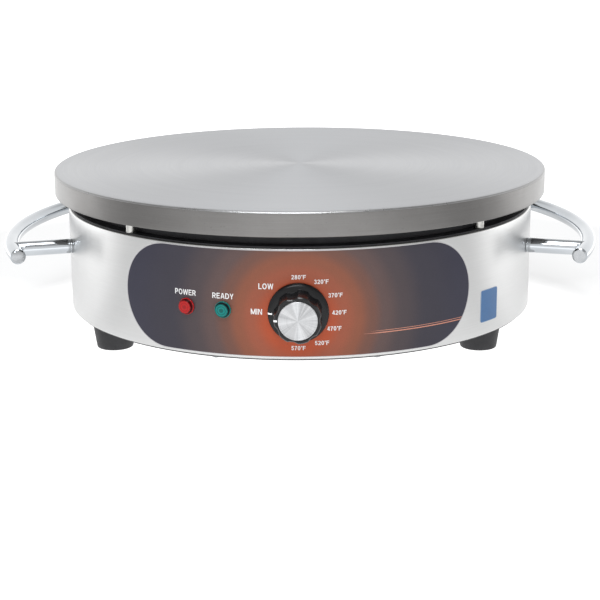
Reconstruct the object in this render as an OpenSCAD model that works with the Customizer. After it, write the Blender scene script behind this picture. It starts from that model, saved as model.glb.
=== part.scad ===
// Electric crepe maker: a cast iron griddle plate carried on a round steel
// drum, with a thermostat knob in front and a chrome handle on each side.
// Millimetres. +Z up, front towards -Y, origin on the table under the plate's
// centre.

/* [Cooking plate] */
// Diameter of the cast iron cooking plate
plate_d = 406.4; // [402:0.2:410]
// Thickness of the plate at its rim
plate_t = 19; // [17:0.5:22]
// Rounding of the upper edge
plate_edge_r = 1.8; // [0.8:0.1:3]
// Air gap between the plate and the rim of the drum
gap_h = 10.3; // [8:0.1:14]

/* [Drum] */
// Outside radius of the drum
drum_r = 192.5; // [190:0.5:194]
// Height of the drum
drum_h = 83.7; // [80:0.1:90]
// Wall thickness of the drum
drum_t = 1.2; // [0.8:0.1:1.5]
// Thickness of the base plate
base_t = 1.2; // [1:0.1:1.5]

/* [Feet] */
// Height of a rubber foot
foot_h = 20.8; // [18:0.2:26]
// Radius at the bottom of a foot
foot_r1 = 14.6; // [12:0.1:16]
// Radius at the top of a foot
foot_r2 = 18.1; // [15:0.1:18.5]
// Radius of the circle that the feet stand on
foot_ring_r = 168; // [166:0.2:168.6]

/* [Handles] */
// Radius of the arc that the grip bar follows
bar_ring_r = 240; // [232:1:250]
// Radius of the grip bar
bar_r = 6.1; // [6.1:0.1:7]
// Half of the angle that the grip bar spans
bar_half_angle = 29.4; // [28:0.1:32]
// Half of the angle between the two posts of a handle
post_angle = 22.5; // [20:0.5:24]
// Angle by which the middle of each handle lies behind the side axis
handle_back = 6.5; // [4:0.5:8]
// Radius of the posts
post_r = 6; // [4.5:0.1:6]
// Height of the handles above the table
handle_z = 76.5; // [70:0.5:85]

/* [Control panel] */
// Half of the length of the front overlay along the drum
overlay_half_len = 142.2; // [130:0.2:150]
// Height of the front overlay
overlay_h = 80.6; // [70:0.2:80.6]
// Height of the knob's axis above the table
knob_z = 58.2; // [54:0.1:62]
// Distance of the knob's axis to the right of the centre
knob_x = 2; // [0:0.5:4]
// Radius of the knob's skirt
knob_r = 22.5; // [21:0.1:25]
// Radius of the knob's metal cap
cap_r = 14.3; // [12:0.1:15]
// Height of the two pilot lamps above the table
lamp_z = 58.5; // [54:0.5:62]

/* [Hidden] */

$fn = 96;
FINE = 240;

// heights
z_base = foot_h;
z_drum = z_base + base_t;
z_rim = z_drum + drum_h;
z_plate = z_rim + gap_h;
z_top = z_plate + plate_t;
z_roof = z_plate + 5;            // ceiling of the recess under the plate

plate_r = plate_d / 2;
recess_r = 178;                  // recess under the plate
drum_in = drum_r - drum_t;
flange_top_r = 178;              // inner edge of the drum's top flange
flange_bot_r = 176;              // inner edge of the drum's bottom flange

// plate studs, four at right angles
pin_ring_r = drum_r - 5.5;
pin_a0 = -42.1;
pin_angles = [for (i = [0 : 3]) -90 + pin_a0 + 90 * i];

// heating element
el_r = 4.25;
z_el = z_roof - el_r - 0.05;
el_r1 = 150;                     // outer ring
el_r2 = 86;                      // inner ring
el_rm = (el_r1 + el_r2) / 2;
el_rb = (el_r1 - el_r2) / 2;
el_elbow = 12;
a_out0 = -70;                    // free end of the outer ring
a_in0 = -60;                     // free end of the inner ring
a_bend = 250;                    // where the two rings join

// heat pan
pan_t = 1;
pan_in_r = 174;
pan_out_r = 181;
pan_flange_r = drum_r - 1.7;
z_pan = z_rim - 17.7;            // underside of the pan
z_pan_top = z_plate - 3;

// element clamps
clamp_angles = [90, 210, 330];

// base
// radius and angle of each foot
foot_spots = [[foot_ring_r, 90], [foot_ring_r + 1.4, 208.8], [foot_ring_r - 1.4, 330.1]];
screw_ring_r = 183;
screw_angles = [for (a = [19.2, 100, 140]) for (s = [-1, 1]) -90 + s * a];

// handles
post_angles = [for (s = [-1, 1]) each [handle_back + s * post_angle,
                                       180 - handle_back - s * post_angle]];

// control panel
overlay_t = 0.45;
overlay_z = z_drum + 42.2;
overlay_turn = 0.33;             // the overlay's middle lies a little to the right
overlay_r = overlay_h / 2;
end_angle = (overlay_half_len - overlay_r) / drum_r * 180 / PI;
full_angle = overlay_half_len / drum_r * 180 / PI;
lamp_angles = [-90 - 24.8, -90 - 16.1];
label_angle = -90 + 50.3;
knob_y = drum_r + 1.3;           // rear face of the knob, in front of the axis
knob_len = 23.4;                 // front face of the grip
cap_len = 24.2;                  // front face of the cap
lobe_r = 17.5;
lobes = 7;
lobe_a0 = 180;                   // one lobe carries the index mark
shaft_r = 3;

// thermostat
th_front = 188;
th_depth = 36;

// gland and terminal block at the back
gland_z = 50;
block_y = 138;

// ---------- helpers ----------
function polar(r, a, z = 0) = [r * cos(a), r * sin(a), z];

// smooth path through a list of points
function bs(a, b, c, d, t) = ((1 - t) * (1 - t) * (1 - t) * a
  + (3 * t * t * t - 6 * t * t + 4) * b
  + (-3 * t * t * t + 3 * t * t + 3 * t + 1) * c + t * t * t * d) / 6;
function smooth(p, n) = let (m = len(p) - 1) concat(
  [for (i = [0 : m - 1], k = [0 : n - 1])
    bs(i > 0 ? p[i - 1] : 2 * p[0] - p[1], p[i], p[i + 1],
       i < m - 1 ? p[i + 2] : 2 * p[m] - p[m - 1], k / n)],
  [p[m]]);
function unit(v) = v / norm(v);
function tangents(p) = [for (i = [0 : len(p) - 1])
  unit(p[min(i + 1, len(p) - 1)] - p[max(i - 1, 0)])];
function side_of(t) = unit(cross(t, abs(t[2]) < 0.8 ? [0, 0, 1] : [1, 0, 0]));
function sides(t) = [for (i = 0, n = side_of(t[0]); i < len(t); i = i + 1,
  n = i < len(t) ? unit(n - (n * t[i]) * t[i]) : n) n];

// flexible round wire swept along a smooth path through the points
module wire(pts, r, n = 4, m = 8) {
  p = smooth(pts, n);
  t = tangents(p);
  u = sides(t);
  k = len(p);
  polyhedron(
    points = [for (i = [0 : k - 1], j = [0 : m - 1])
      p[i] + r * (cos(360 * j / m) * u[i] + sin(360 * j / m) * cross(t[i], u[i]))],
    faces = concat(
      [[for (j = [0 : m - 1]) j]],
      [for (i = [0 : k - 2], j = [0 : m - 1], h = [0, 1])
        let (a = i * m + j, b = i * m + (j + 1) % m)
        h == 0 ? [a, b + m, b] : [a, a + m, b + m]],
      [[for (j = [m - 1 : -1 : 0]) (k - 1) * m + j]]));
}

// places its children on the drum at an angle and height, local +Z outwards
module on_drum(a, z, r = 0) {
  rotate([0, 0, a]) translate([r, 0, z]) rotate([0, 90, 0]) children();
}

// places its children on the knob's axis, local +Z to the front
module on_knob_axis() {
  translate([knob_x, 0, knob_z]) rotate([90, 0, 0]) children();
}

module hex(af, h) {
  cylinder(h = h, r = af / 2 / cos(30), $fn = 6);
}

// ---------- cooking plate ----------
module cooking_plate() {
  r = plate_edge_r;
  rb = 0.9;
  color([0.55, 0.54, 0.53]) difference() {
    rotate_extrude($fn = FINE) {
      translate([0, z_plate + rb]) square([plate_r, plate_t - rb - r]);
      translate([0, z_plate]) square([plate_r - rb, plate_t]);
      translate([0, z_plate + 3]) square([plate_r - r, plate_t - 3]);
      intersection() {
        translate([0, z_plate + 2]) square([plate_r + 5, plate_t]);
        translate([plate_r - r, z_top - r]) circle(r, $fn = 48);
      }
      translate([plate_r - rb, z_plate + rb]) circle(rb, $fn = 32);
    }
    translate([0, 0, z_plate - 1]) cylinder(h = 6, r = recess_r, $fn = FINE);
    for (a = pin_angles)
      translate(polar(pin_ring_r, a, z_plate - 1)) cylinder(h = 12, r = 2.55);
    for (a = clamp_angles)
      translate(polar(el_rm, a, z_roof - 1)) cylinder(h = 9, r = 3.05);
    for (e = [[el_r1, a_out0], [el_r2, a_in0]])
      translate(polar(e[0], e[1], z_roof - 1)) cylinder(h = 1.8, r = 8);
    translate([0, 52, z_roof - 1]) cylinder(h = 8, r = 2.05);
  }
}

module plate_spacers() {
  color([0.85, 0.85, 0.83]) for (a = pin_angles)
    translate(polar(pin_ring_r, a, z_rim + pan_t)) difference() {
      cylinder(h = gap_h - pan_t, r = 3.7);
      translate([0, 0, -1]) cylinder(h = gap_h + 2, r = 2.6);
    }
}

module plate_studs() {
  color([0.75, 0.75, 0.73]) for (a = pin_angles)
    translate(polar(pin_ring_r, a, z_rim - 12)) cylinder(h = gap_h + 22, r = 2.5);
}

module plate_nuts() {
  color([0.75, 0.73, 0.66]) for (a = pin_angles)
    translate(polar(pin_ring_r, a, z_rim - drum_t - 5)) {
      difference() {
        rotate([0, 0, a + 30]) hex(8, 5);
        translate([0, 0, -1]) cylinder(h = 8, r = 2.52);
      }
    }
}

// ---------- heating element ----------
module heating_element() {
  color([0.32, 0.31, 0.30]) {
    // outer ring, inner ring and the bend between them
    rotate([0, 0, a_out0]) translate([0, 0, z_el])
      rotate_extrude(angle = a_bend - a_out0, $fn = FINE)
        translate([el_r1, 0]) circle(el_r, $fn = 32);
    rotate([0, 0, a_in0]) translate([0, 0, z_el])
      rotate_extrude(angle = a_bend - a_in0, $fn = FINE)
        translate([el_r2, 0]) circle(el_r, $fn = 32);
    translate(polar(el_rm, a_bend, z_el)) rotate([0, 0, a_bend - 3])
      rotate_extrude(angle = 186, $fn = FINE)
        translate([el_rb, 0]) circle(el_r - 0.15, $fn = 32);
    // crimped collar where each free end begins
    for (e = [[el_r1, a_out0], [el_r2, a_in0]])
      rotate([0, 0, e[1]]) translate([e[0], 2, z_el]) rotate([90, 0, 0])
        cylinder(h = 4, r = el_r + 0.5, $fn = 32);
    // each free end turns down through the pan
    for (e = [[el_r1, a_out0], [el_r2, a_in0]])
      rotate([0, 0, e[1]]) translate([e[0], 0, z_el - el_elbow]) {
        rotate([0, -90, 0]) rotate([0, 0, -90])
          rotate_extrude(angle = 90, $fn = FINE)
            translate([el_elbow, 0]) circle(el_r, $fn = 32);
        translate([0, -el_elbow, -(z_el - el_elbow - z_pan + 11)])
          cylinder(h = z_el - el_elbow - z_pan + 11, r = el_r, $fn = 32);
      }
  }
}

// foot of each element leg, in plan
leg1 = polar(el_r1, a_out0) - el_elbow * [-sin(a_out0), cos(a_out0), 0];
leg2 = polar(el_r2, a_in0) - el_elbow * [-sin(a_in0), cos(a_in0), 0];
legs = [leg1, leg2];
z_leg = z_pan - 11;

module element_insulators() {
  color([0.93, 0.91, 0.86]) for (l = legs) translate([l[0], l[1], 0])
    difference() {
      union() {
        translate([0, 0, z_pan - 8]) cylinder(h = 16, r = 6.9);
        translate([0, 0, z_pan - 8]) cylinder(h = 8, r = 9);
      }
      translate([0, 0, z_pan - 9]) cylinder(h = 20, r = el_r + 0.1);
    }
}

module element_terminals() {
  color([0.78, 0.76, 0.70]) for (l = legs) translate([l[0], l[1], z_leg]) {
    translate([0, 0, -5]) cylinder(h = 5, r = 2);
    translate([-3.15, -0.4, -14]) cube([6.3, 0.8, 9.5]);
  }
}

module element_clamp_bars() {
  color([0.70, 0.70, 0.69]) for (a = clamp_angles) rotate([0, 0, a])
    difference() {
      translate([70, -10, z_el - el_r - 2.55]) cube([96, 20, 2.5]);
      translate([el_rm, 0, z_el - 12]) cylinder(h = 12, r = 3.2);
    }
}

module element_clamp_studs() {
  color([0.72, 0.70, 0.62]) for (a = clamp_angles)
    translate(polar(el_rm, a, z_roof - 17)) cylinder(h = 25, r = 3);
}

module element_clamp_nuts() {
  color([0.78, 0.75, 0.65]) for (a = clamp_angles)
    translate(polar(el_rm, a, z_el - el_r - 7.6)) difference() {
      hex(10, 5);
      translate([0, 0, -1]) cylinder(h = 8, r = 3.02);
    }
}

// ---------- pan and insulation ----------
module pan_holes(extra = 0) {
  for (l = legs) translate([l[0], l[1], z_pan - 2])
    cylinder(h = 30, r = 7 + extra);
  translate([-60, 30, z_pan - 2]) cylinder(h = 30, r = 4.1 + extra);
}

module heat_pan() {
  color([0.13, 0.13, 0.15]) difference() {
    rotate_extrude($fn = FINE) {
      translate([0, z_pan]) square([pan_in_r, pan_t]);
      translate([pan_in_r - pan_t, z_pan]) square([pan_t, z_pan_top - z_pan]);
      translate([pan_in_r - pan_t, z_pan_top - pan_t])
        square([pan_out_r - pan_in_r + pan_t, pan_t]);
      translate([pan_out_r - pan_t, z_rim]) square([pan_t, z_pan_top - z_rim]);
      translate([pan_out_r - pan_t, z_rim])
        square([pan_flange_r - pan_out_r + pan_t, pan_t]);
    }
    for (a = pin_angles)
      translate(polar(pin_ring_r, a, z_rim - 2)) cylinder(h = 4, r = 2.75);
    pan_holes();
    for (s = [-1, 1]) translate([70 + 12 * s, 40, z_pan - 2])
      cylinder(h = 6, r = 1.6);
  }
}

module insulation_disc() {
  color([0.90, 0.88, 0.82]) difference() {
    translate([0, 0, z_pan + pan_t]) cylinder(h = 14, r = 172, $fn = FINE);
    pan_holes(0.5);
    for (s = [-1, 1]) translate([70 + 12 * s, 40, z_pan])
      cylinder(h = 20, r = 4);
  }
}

module pan_grommet() {
  color([0.75, 0.33, 0.22]) translate([-60, 30, z_pan]) difference() {
    union() {
      translate([0, 0, -2]) cylinder(h = 2, r = 6);
      cylinder(h = pan_t + 3, r = 4);
    }
    translate([0, 0, -3]) cylinder(h = 10, r = 1.2);
  }
}

// ---------- temperature sensing ----------
module sensor_bulb() {
  color([0.80, 0.52, 0.36]) translate([-42, 36, z_roof - 3.1])
    rotate([0, 90, 0]) cylinder(h = 84, r = 3);
}

module sensor_clip() {
  color([0.76, 0.76, 0.74]) difference() {
    union() {
      translate([-6, 45, z_roof - 2.0]) cube([12, 13, 1.5]);
      translate([-6, 31, z_roof - 7.65]) cube([12, 16, 1.5]);
      translate([-6, 45.5, z_roof - 7.65]) cube([12, 1.5, 7.15]);
    }
    translate([0, 52, z_roof - 6]) cylinder(h = 8, r = 2.15);
  }
}

module sensor_clip_screw() {
  color([0.78, 0.76, 0.68]) translate([0, 52, z_roof]) {
    translate([0, 0, -5]) cylinder(h = 3, r = 3.6);
    translate([0, 0, -3]) cylinder(h = 8, r = 2);
  }
}

module capillary_tube() {
  color([0.78, 0.50, 0.34]) wire([
    [-42, 36, z_roof - 3.1], [-48, 36, z_roof - 3.1],
    [-57, 33, z_roof - 6], [-60, 30, z_pan + 20], [-60, 30, z_pan + 12],
    [-60, 30, z_pan - 4], [-60, 30, z_pan - 10], [-54, 4, z_pan - 15],
    [-30, -80, z_pan - 17], [-12, -126, z_pan - 21], [-8, -145, knob_z + 8],
    [-8, -(th_front - th_depth), knob_z + 8]
  ], 1.1);
}

module thermal_cutout() {
  color([0.80, 0.78, 0.72]) translate([70, 40, z_pan]) {
    difference() {
      translate([-16, -4, -1.2]) cube([32, 8, 1.2]);
      for (s = [-1, 1]) translate([12 * s, 0, -2]) cylinder(h = 4, r = 1.6);
    }
    translate([0, 0, -10]) cylinder(h = 9, r = 8);
    for (s = [-1, 1]) translate([4.5 * s - 0.4, -3.15, -18])
      cube([0.8, 6.3, 9]);
  }
}

module cutout_screws() {
  color([0.78, 0.76, 0.68]) for (s = [-1, 1])
    translate([70 + 12 * s, 40, z_pan]) {
      translate([0, 0, -3.2]) cylinder(h = 2, r = 2.8);
      translate([0, 0, -2]) cylinder(h = 6, r = 1.5);
    }
}

// ---------- drum and base ----------
module housing_shell() {
  rt = 1.2;
  rb = 1.2;
  color([0.78, 0.78, 0.77]) difference() {
    rotate_extrude($fn = FINE) difference() {
      union() {
        translate([flange_bot_r, z_drum])
          square([drum_r - rb - flange_bot_r, drum_h]);
        translate([flange_bot_r, z_drum + rb])
          square([drum_r - flange_bot_r, drum_h - rb - rt]);
        translate([drum_r - rb, z_drum + rb]) circle(rb, $fn = 48);
        translate([drum_r - rt, z_rim - rt]) circle(rt, $fn = 48);
        translate([flange_bot_r, z_rim - rt])
          square([drum_r - rt - flange_bot_r, rt]);
      }
      // corner above the rounding of the rim
      difference() {
        translate([drum_r - rt, z_rim - rt]) square([rt + 1, rt + 1]);
        translate([drum_r - rt, z_rim - rt]) circle(rt, $fn = 48);
      }
      translate([flange_bot_r - 1, z_drum + drum_t])
        square([drum_in - flange_bot_r + 1, drum_h - 2 * drum_t]);
      translate([flange_bot_r - 1, z_drum + 30])
        square([flange_top_r - flange_bot_r + 1, drum_h]);
    }
    for (a = pin_angles)
      translate(polar(pin_ring_r, a, z_rim - 4)) cylinder(h = 6, r = 2.75);
    for (a = screw_angles)
      translate(polar(screw_ring_r, a, z_drum - 1)) cylinder(h = 4, r = 2.05);
    for (a = post_angles)
      on_drum(a, handle_z, drum_in - 4) cylinder(h = 10, r = 2.75);
    for (a = lamp_angles)
      on_drum(a, lamp_z, drum_in - 4) cylinder(h = 10, r = 4.2);
    on_knob_axis() translate([0, 0, drum_in - 4]) cylinder(h = 10, r = 5);
    on_drum(90, gland_z, drum_in - 4) cylinder(h = 10, r = 9.1);
  }
}

module base_plate() {
  color([0.20, 0.20, 0.21]) difference() {
    translate([0, 0, z_base]) cylinder(h = base_t, r = drum_r - 2, $fn = FINE);
    for (f = foot_spots)
      translate(polar(f[0], f[1], z_base - 1)) cylinder(h = 4, r = 2.7);
    for (a = screw_angles)
      translate(polar(screw_ring_r, a, z_base - 1)) cylinder(h = 4, r = 2.3);
    for (i = [0 : 11]) rotate([0, 0, 30 * i + 15])
      translate([64, 0, z_base - 1]) {
        translate([0, -2.5, 0]) cube([40, 5, 4]);
        for (x = [0, 40]) translate([x, 0, 0]) cylinder(h = 4, r = 2.5);
      }
    for (s = [-1, 1]) translate([30 * s, block_y, z_base - 1])
      cylinder(h = 4, r = 2.1);
    translate([70, 128, z_base - 1]) cylinder(h = 4, r = 2.6);
  }
}

module base_screws() {
  color([0.80, 0.79, 0.75]) for (a = screw_angles)
    translate(polar(screw_ring_r, a, z_base)) difference() {
      union() {
        rotate_extrude() intersection() {
          translate([0, -3.1]) square([3.7, 3.1]);
          translate([0, 1.9]) circle(5);
        }
        translate([0, 0, -1]) cylinder(h = 9, r = 2);
      }
      for (b = [0, 90]) rotate([0, 0, b]) translate([-1.9, -0.4, -4.2])
        cube([3.8, 0.8, 2.2]);
    }
}

// ---------- feet ----------
module feet() {
  color([0.10, 0.10, 0.11]) for (f = foot_spots)
    translate(polar(f[0], f[1])) difference() {
      rotate_extrude() {
        polygon([[0, 0], [foot_r1 - 1.2, 0], [foot_r1 + 0.1, 1.1],
                 [foot_r2, foot_h], [0, foot_h]]);
      }
      translate([0, 0, -1]) cylinder(h = 11, r = 6.6);
      cylinder(h = 60, r = 2.7);
    }
}

module foot_washers() {
  color([0.76, 0.76, 0.74]) for (f = foot_spots)
    translate(polar(f[0], f[1], 8.8)) difference() {
      cylinder(h = 1.2, r = 6.2);
      translate([0, 0, -1]) cylinder(h = 4, r = 2.6);
    }
}

module foot_screws() {
  color([0.80, 0.79, 0.75]) for (f = foot_spots)
    translate(polar(f[0], f[1], 8.8)) difference() {
      union() {
        rotate_extrude() intersection() {
          translate([0, -3.2]) square([4.8, 3.2]);
          translate([0, 2]) circle(5.2);
        }
        translate([0, 0, -1]) cylinder(h = foot_h + base_t - 8.8 + 7, r = 2.5);
      }
      for (b = [0, 90]) rotate([0, 0, b]) translate([-2.4, -0.5, -4])
        cube([4.8, 1, 2.6]);
    }
}

module foot_nuts() {
  color([0.80, 0.79, 0.75]) for (f = foot_spots)
    translate(polar(f[0], f[1], z_drum)) difference() {
      rotate([0, 0, a]) hex(8, 4);
      translate([0, 0, -1]) cylinder(h = 8, r = 2.52);
    }
}

// ---------- handles ----------
module bar(side) {
  color([0.88, 0.88, 0.89])
    rotate([0, 0, side > 0 ? handle_back - bar_half_angle
                           : 180 - handle_back - bar_half_angle])
      translate([0, 0, handle_z]) {
        rotate_extrude(angle = 2 * bar_half_angle, $fn = FINE)
          translate([bar_ring_r, 0]) circle(bar_r, $fn = 48);
      }
}

module left_handle_bar() { bar(-1); }
module right_handle_bar() { bar(1); }

module handle_posts() {
  color([0.86, 0.86, 0.87]) difference() {
    for (a = post_angles) on_drum(a, handle_z, drum_r + 0.1)
      cylinder(h = bar_ring_r - drum_r, r = post_r, $fn = 48);
    translate([0, 0, handle_z]) rotate_extrude($fn = FINE)
      translate([bar_ring_r, 0]) circle(bar_r, $fn = 48);
    for (a = post_angles) on_drum(a, handle_z, drum_r - 2)
      cylinder(h = 22, r = 2.55);
  }
}

module handle_bolts() {
  color([0.80, 0.79, 0.75]) for (a = post_angles)
    on_drum(a, handle_z, drum_in - 4.3) {
      hex(8, 3.1);
      cylinder(h = 20, r = 2.5);
    }
}

module handle_washers() {
  color([0.76, 0.76, 0.74]) for (a = post_angles)
    on_drum(a, handle_z, drum_in - 1.2) difference() {
      cylinder(h = 1, r = 6);
      translate([0, 0, -1]) cylinder(h = 4, r = 2.7);
    }
}

// ---------- overlay and label ----------
module skin_on_drum(t) {
  difference() {
    intersection() {
      translate([0, 0, z_drum]) cylinder(h = drum_h, r = drum_r + t, $fn = FINE);
      children();
    }
    translate([0, 0, z_drum - 1])
      cylinder(h = drum_h + 2, r = drum_r, $fn = FINE);
  }
}

module control_overlay() {
  color([0.38, 0.33, 0.36]) difference() {
    // band along the drum
    translate([0, 0, overlay_z - overlay_r])
      rotate([0, 0, -90 + overlay_turn - full_angle - 2])
        rotate_extrude(angle = 2 * full_angle + 4, $fn = FINE)
          translate([drum_r, 0]) square([overlay_t, overlay_h]);
    // its corners, cut away to round the ends
    for (s = [-1, 1])
      on_drum(-90 + overlay_turn + s * end_angle, overlay_z, 100) linear_extrude(120)
        difference() {
          translate([-overlay_r - 5, s > 0 ? 0 : -overlay_r - 12])
            square([2 * overlay_r + 10, overlay_r + 12]);
          circle(overlay_r + 0.15, $fn = FINE);
        }
    for (a = lamp_angles)
      on_drum(a, lamp_z, drum_r - 4) cylinder(h = 10, r = 4.6);
    on_knob_axis() translate([0, 0, drum_r - 4]) cylinder(h = 10, r = 5.2);
  }
}

module side_label() {
  w = 21.9;
  h = 25.6;
  r = 2.2;
  color([0.22, 0.40, 0.65]) skin_on_drum(0.25)
    on_drum(label_angle, z_drum + 10.4 + h / 2, 100)
      linear_extrude(120) {
        square([h - 2 * r, w], center = true);
        square([h, w - 2 * r], center = true);
        for (x = [-1, 1], y = [-1, 1])
          translate([x * (h / 2 - r), y * (w / 2 - r)]) circle(r, $fn = 32);
      }
}

// ---------- knob ----------
module knob_shaft_2d(r, flat) {
  intersection() {
    circle(r, $fn = 48);
    translate([-10, -10]) square([20, 10 + flat]);
  }
}

module control_knob() {
  color([0.08, 0.08, 0.09]) on_knob_axis() translate([0, 0, knob_y])
    difference() {
      union() {
        // skirt
        rotate_extrude() {
          square([knob_r - 0.5, 1.6]);
          translate([0, 0.5]) square([knob_r, 0.9]);
          translate([knob_r - 0.5, 0.5]) circle(0.5, $fn = 32);
          polygon([[0, 1], [knob_r, 1.2], [knob_r - 0.7, 2.1],
                   [knob_r - 2.6, 3.3], [lobe_r - 0.2, 4.2], [0, 4.2]]);
        }
        // fluted grip
        difference() {
          rotate_extrude() {
            polygon([[0, 3], [lobe_r + 0.5, 3], [lobe_r, knob_len - 0.8],
                     [lobe_r - 0.8, knob_len], [0, knob_len]]);
          }
          for (i = [0 : lobes - 1]) rotate([0, 0, 360 / lobes * (i + 0.5) + lobe_a0])
            translate([lobe_r + 8, 0, 4.2]) cylinder(h = knob_len, r = 9.3, $fn = 64);
        }
      }
      // seat of the cap
      translate([0, 0, knob_len - 3]) cylinder(h = 10, r = cap_r + 0.05);
      // hollow back with a hub
      translate([0, 0, -1]) cylinder(h = 5.2, r = 15.4);
      difference() {
        translate([0, 0, -1]) cylinder(h = 18, r = 13.8);
        cylinder(h = 30, r = 6);
      }
      // D-shaped bore and the slot of the spring clip
      translate([0, 0, -1]) linear_extrude(18.5) knob_shaft_2d(shaft_r + 0.05, 1.55);
      translate([-2.1, 1.4, 3]) cube([4.2, 0.75, 11.2]);
      // seats of the index marks
      knob_marks(0.02);
    }
}

module knob_marks(c = 0) {
  // mark on the skirt
  translate([-knob_r - 0.2 + 0.2, -0.6 - c, 1.2]) cube([3.4, 1.2 + 2 * c, 1.2]);
  // mark on the grip
  translate([-lobe_r - 0.1, -0.65 - c, knob_len - 0.6])
    cube([lobe_r - cap_r - 0.5, 1.3 + 2 * c, 0.66]);
}

module knob_index_marks() {
  color([0.95, 0.95, 0.93]) on_knob_axis() translate([0, 0, knob_y])
    intersection() {
      knob_marks();
      rotate_extrude() {
        polygon([[0, 1], [knob_r, 1.2], [knob_r - 0.7, 2.16],
                 [knob_r - 2.6, 3.36], [0, 4.2]]);
        polygon([[0, knob_len - 1], [lobe_r + 0.05, knob_len - 1],
                 [lobe_r + 0.05, knob_len - 0.75], [lobe_r - 0.75, knob_len + 0.05],
                 [0, knob_len + 0.05]]);
      }
    }
}

module knob_cap() {
  color([0.86, 0.86, 0.87]) on_knob_axis()
    translate([0, 0, knob_y + knob_len - 3])
      rotate_extrude($fn = FINE) {
        h = cap_len - knob_len + 3;
        square([cap_r - 0.5, h]);
        square([cap_r, h - 0.5]);
        translate([cap_r - 0.5, h - 0.5]) circle(0.5, $fn = 32);
      }
}

module knob_spring_clip() {
  color([0.80, 0.80, 0.78]) on_knob_axis() translate([-2, 1.62, knob_y + 3.2])
    cube([4, 0.45, 10.8]);
}

module thermostat_shaft() {
  color([0.76, 0.74, 0.66]) on_knob_axis() {
    translate([0, 0, th_front - 12]) cylinder(h = 20.5, r = shaft_r);
    translate([0, 0, th_front - 12])
      linear_extrude(knob_y + 17 - th_front + 12) knob_shaft_2d(shaft_r, 1.5);
    translate([0, 0, th_front - 12]) cylinder(h = 3, r = 6.5);
  }
}

// ---------- thermostat ----------
module thermostat_body() {
  color([0.72, 0.72, 0.70]) on_knob_axis() difference() {
    union() {
      translate([-20, -16, th_front - th_depth + 6]) cube([40, 32, th_depth - 6]);
      translate([-17, -13, th_front - th_depth]) cube([34, 26, 7]);
    }
    translate([0, 0, th_front - 14]) cylinder(h = 8, r = 8);
    translate([0, 0, th_front - 14]) cylinder(h = 30, r = 3.3);
  }
}

module thermostat_bushing() {
  color([0.80, 0.66, 0.38]) on_knob_axis() difference() {
    union() {
      translate([0, 0, th_front]) cylinder(h = 3, r = 7);
      translate([0, 0, th_front]) cylinder(h = 8.4, r = 4.9);
    }
    translate([0, 0, th_front - 1]) cylinder(h = 20, r = shaft_r + 0.06);
  }
}

module bushing_nut() {
  color([0.80, 0.79, 0.74]) on_knob_axis()
    translate([0, 0, drum_r + overlay_t + 0.05]) difference() {
      hex(13, 2.4);
      translate([0, 0, -1]) cylinder(h = 8, r = 4.93);
    }
}

module thermostat_terminals() {
  color([0.80, 0.68, 0.42]) on_knob_axis() {
    for (x = [-11, 0.5, 12]) translate([x - 0.4, -8, th_front - th_depth - 8])
      cube([0.8, 6.3, 8]);
  }
}

// ---------- pilot lamps ----------
module lens(a, c) {
  color(c) on_drum(a, lamp_z, drum_r + overlay_t + 0.05) difference() {
    union() {
      rotate_extrude() {
        square([6.3, 1]);
        translate([0, 0.5]) square([5.8, 1]);
        translate([5.8, 1]) circle(0.5, $fn = 32);
        polygon([[0, 1], [5.5, 1], [5.2, 3.6], [4.6, 4.2], [0, 4.2]]);
      }
      translate([0, 0, -0.6]) cylinder(h = 1, r = 4.1);
    }
    translate([0, 0, -1]) cylinder(h = 4, r = 3.2);
  }
}

module power_lamp_lens() { lens(lamp_angles[0], [0.80, 0.06, 0.08]); }
module ready_lamp_lens() { lens(lamp_angles[1], [0.02, 0.50, 0.42]); }

module lamp_bodies() {
  color([0.90, 0.90, 0.86]) for (a = lamp_angles)
    on_drum(a, lamp_z, drum_r - 25) {
      cylinder(h = 24.8, r = 4.1);
      translate([0, 0, 24]) cylinder(h = 3.4, r = 2.8);
    }
}

module lamp_clips() {
  color([0.72, 0.72, 0.70]) for (a = lamp_angles)
    on_drum(a, lamp_z, drum_in - 1) difference() {
      cylinder(h = 0.6, r = 8);
      translate([0, 0, -1]) cylinder(h = 3, r = 4.15);
      for (b = [0 : 60 : 300]) rotate([0, 0, b]) translate([3, -0.5, -1])
        cube([3, 1, 3]);
    }
}

// ---------- terminal block ----------
module terminal_block() {
  color([0.93, 0.92, 0.88]) difference() {
    union() {
      translate([-24, block_y - 9, z_drum]) cube([48, 18, 14]);
      for (x = [-15, 0, 15]) translate([x - 6, block_y - 9, z_drum])
        cube([12, 18, 19]);
      translate([-36, block_y - 6, z_drum]) cube([72, 12, 4]);
    }
    for (x = [-15, 0, 15]) {
      translate([x, block_y - 10, z_drum + 8]) rotate([-90, 0, 0])
        cylinder(h = 20, r = 3.6);
      for (y = [-4.5, 4.5]) translate([x, block_y + y, z_drum + 8])
        cylinder(h = 20, r = 2.3);
    }
    for (s = [-1, 1]) translate([30 * s, block_y, z_drum - 1])
      cylinder(h = 8, r = 2.1);
  }
}

module terminal_barrels() {
  color([0.82, 0.68, 0.36]) for (x = [-15, 0, 15])
    translate([x, block_y - 8, z_drum + 8]) difference() {
      rotate([-90, 0, 0]) cylinder(h = 16, r = 3.5);
      translate([0, -1, 0]) rotate([-90, 0, 0]) cylinder(h = 18, r = 2);
      for (y = [3.5, 12.5]) translate([0, y, 0]) cylinder(h = 8, r = 1.55);
    }
}

module terminal_screws() {
  color([0.80, 0.79, 0.75]) for (x = [-15, 0, 15], y = [-4.5, 4.5])
    translate([x, block_y + y, z_drum + 9.5]) difference() {
      union() {
        cylinder(h = 6, r = 1.5);
        translate([0, 0, 4]) cylinder(h = 3, r = 2.2);
      }
      translate([-3, -0.35, 6.2]) cube([6, 0.7, 2]);
    }
}

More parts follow.
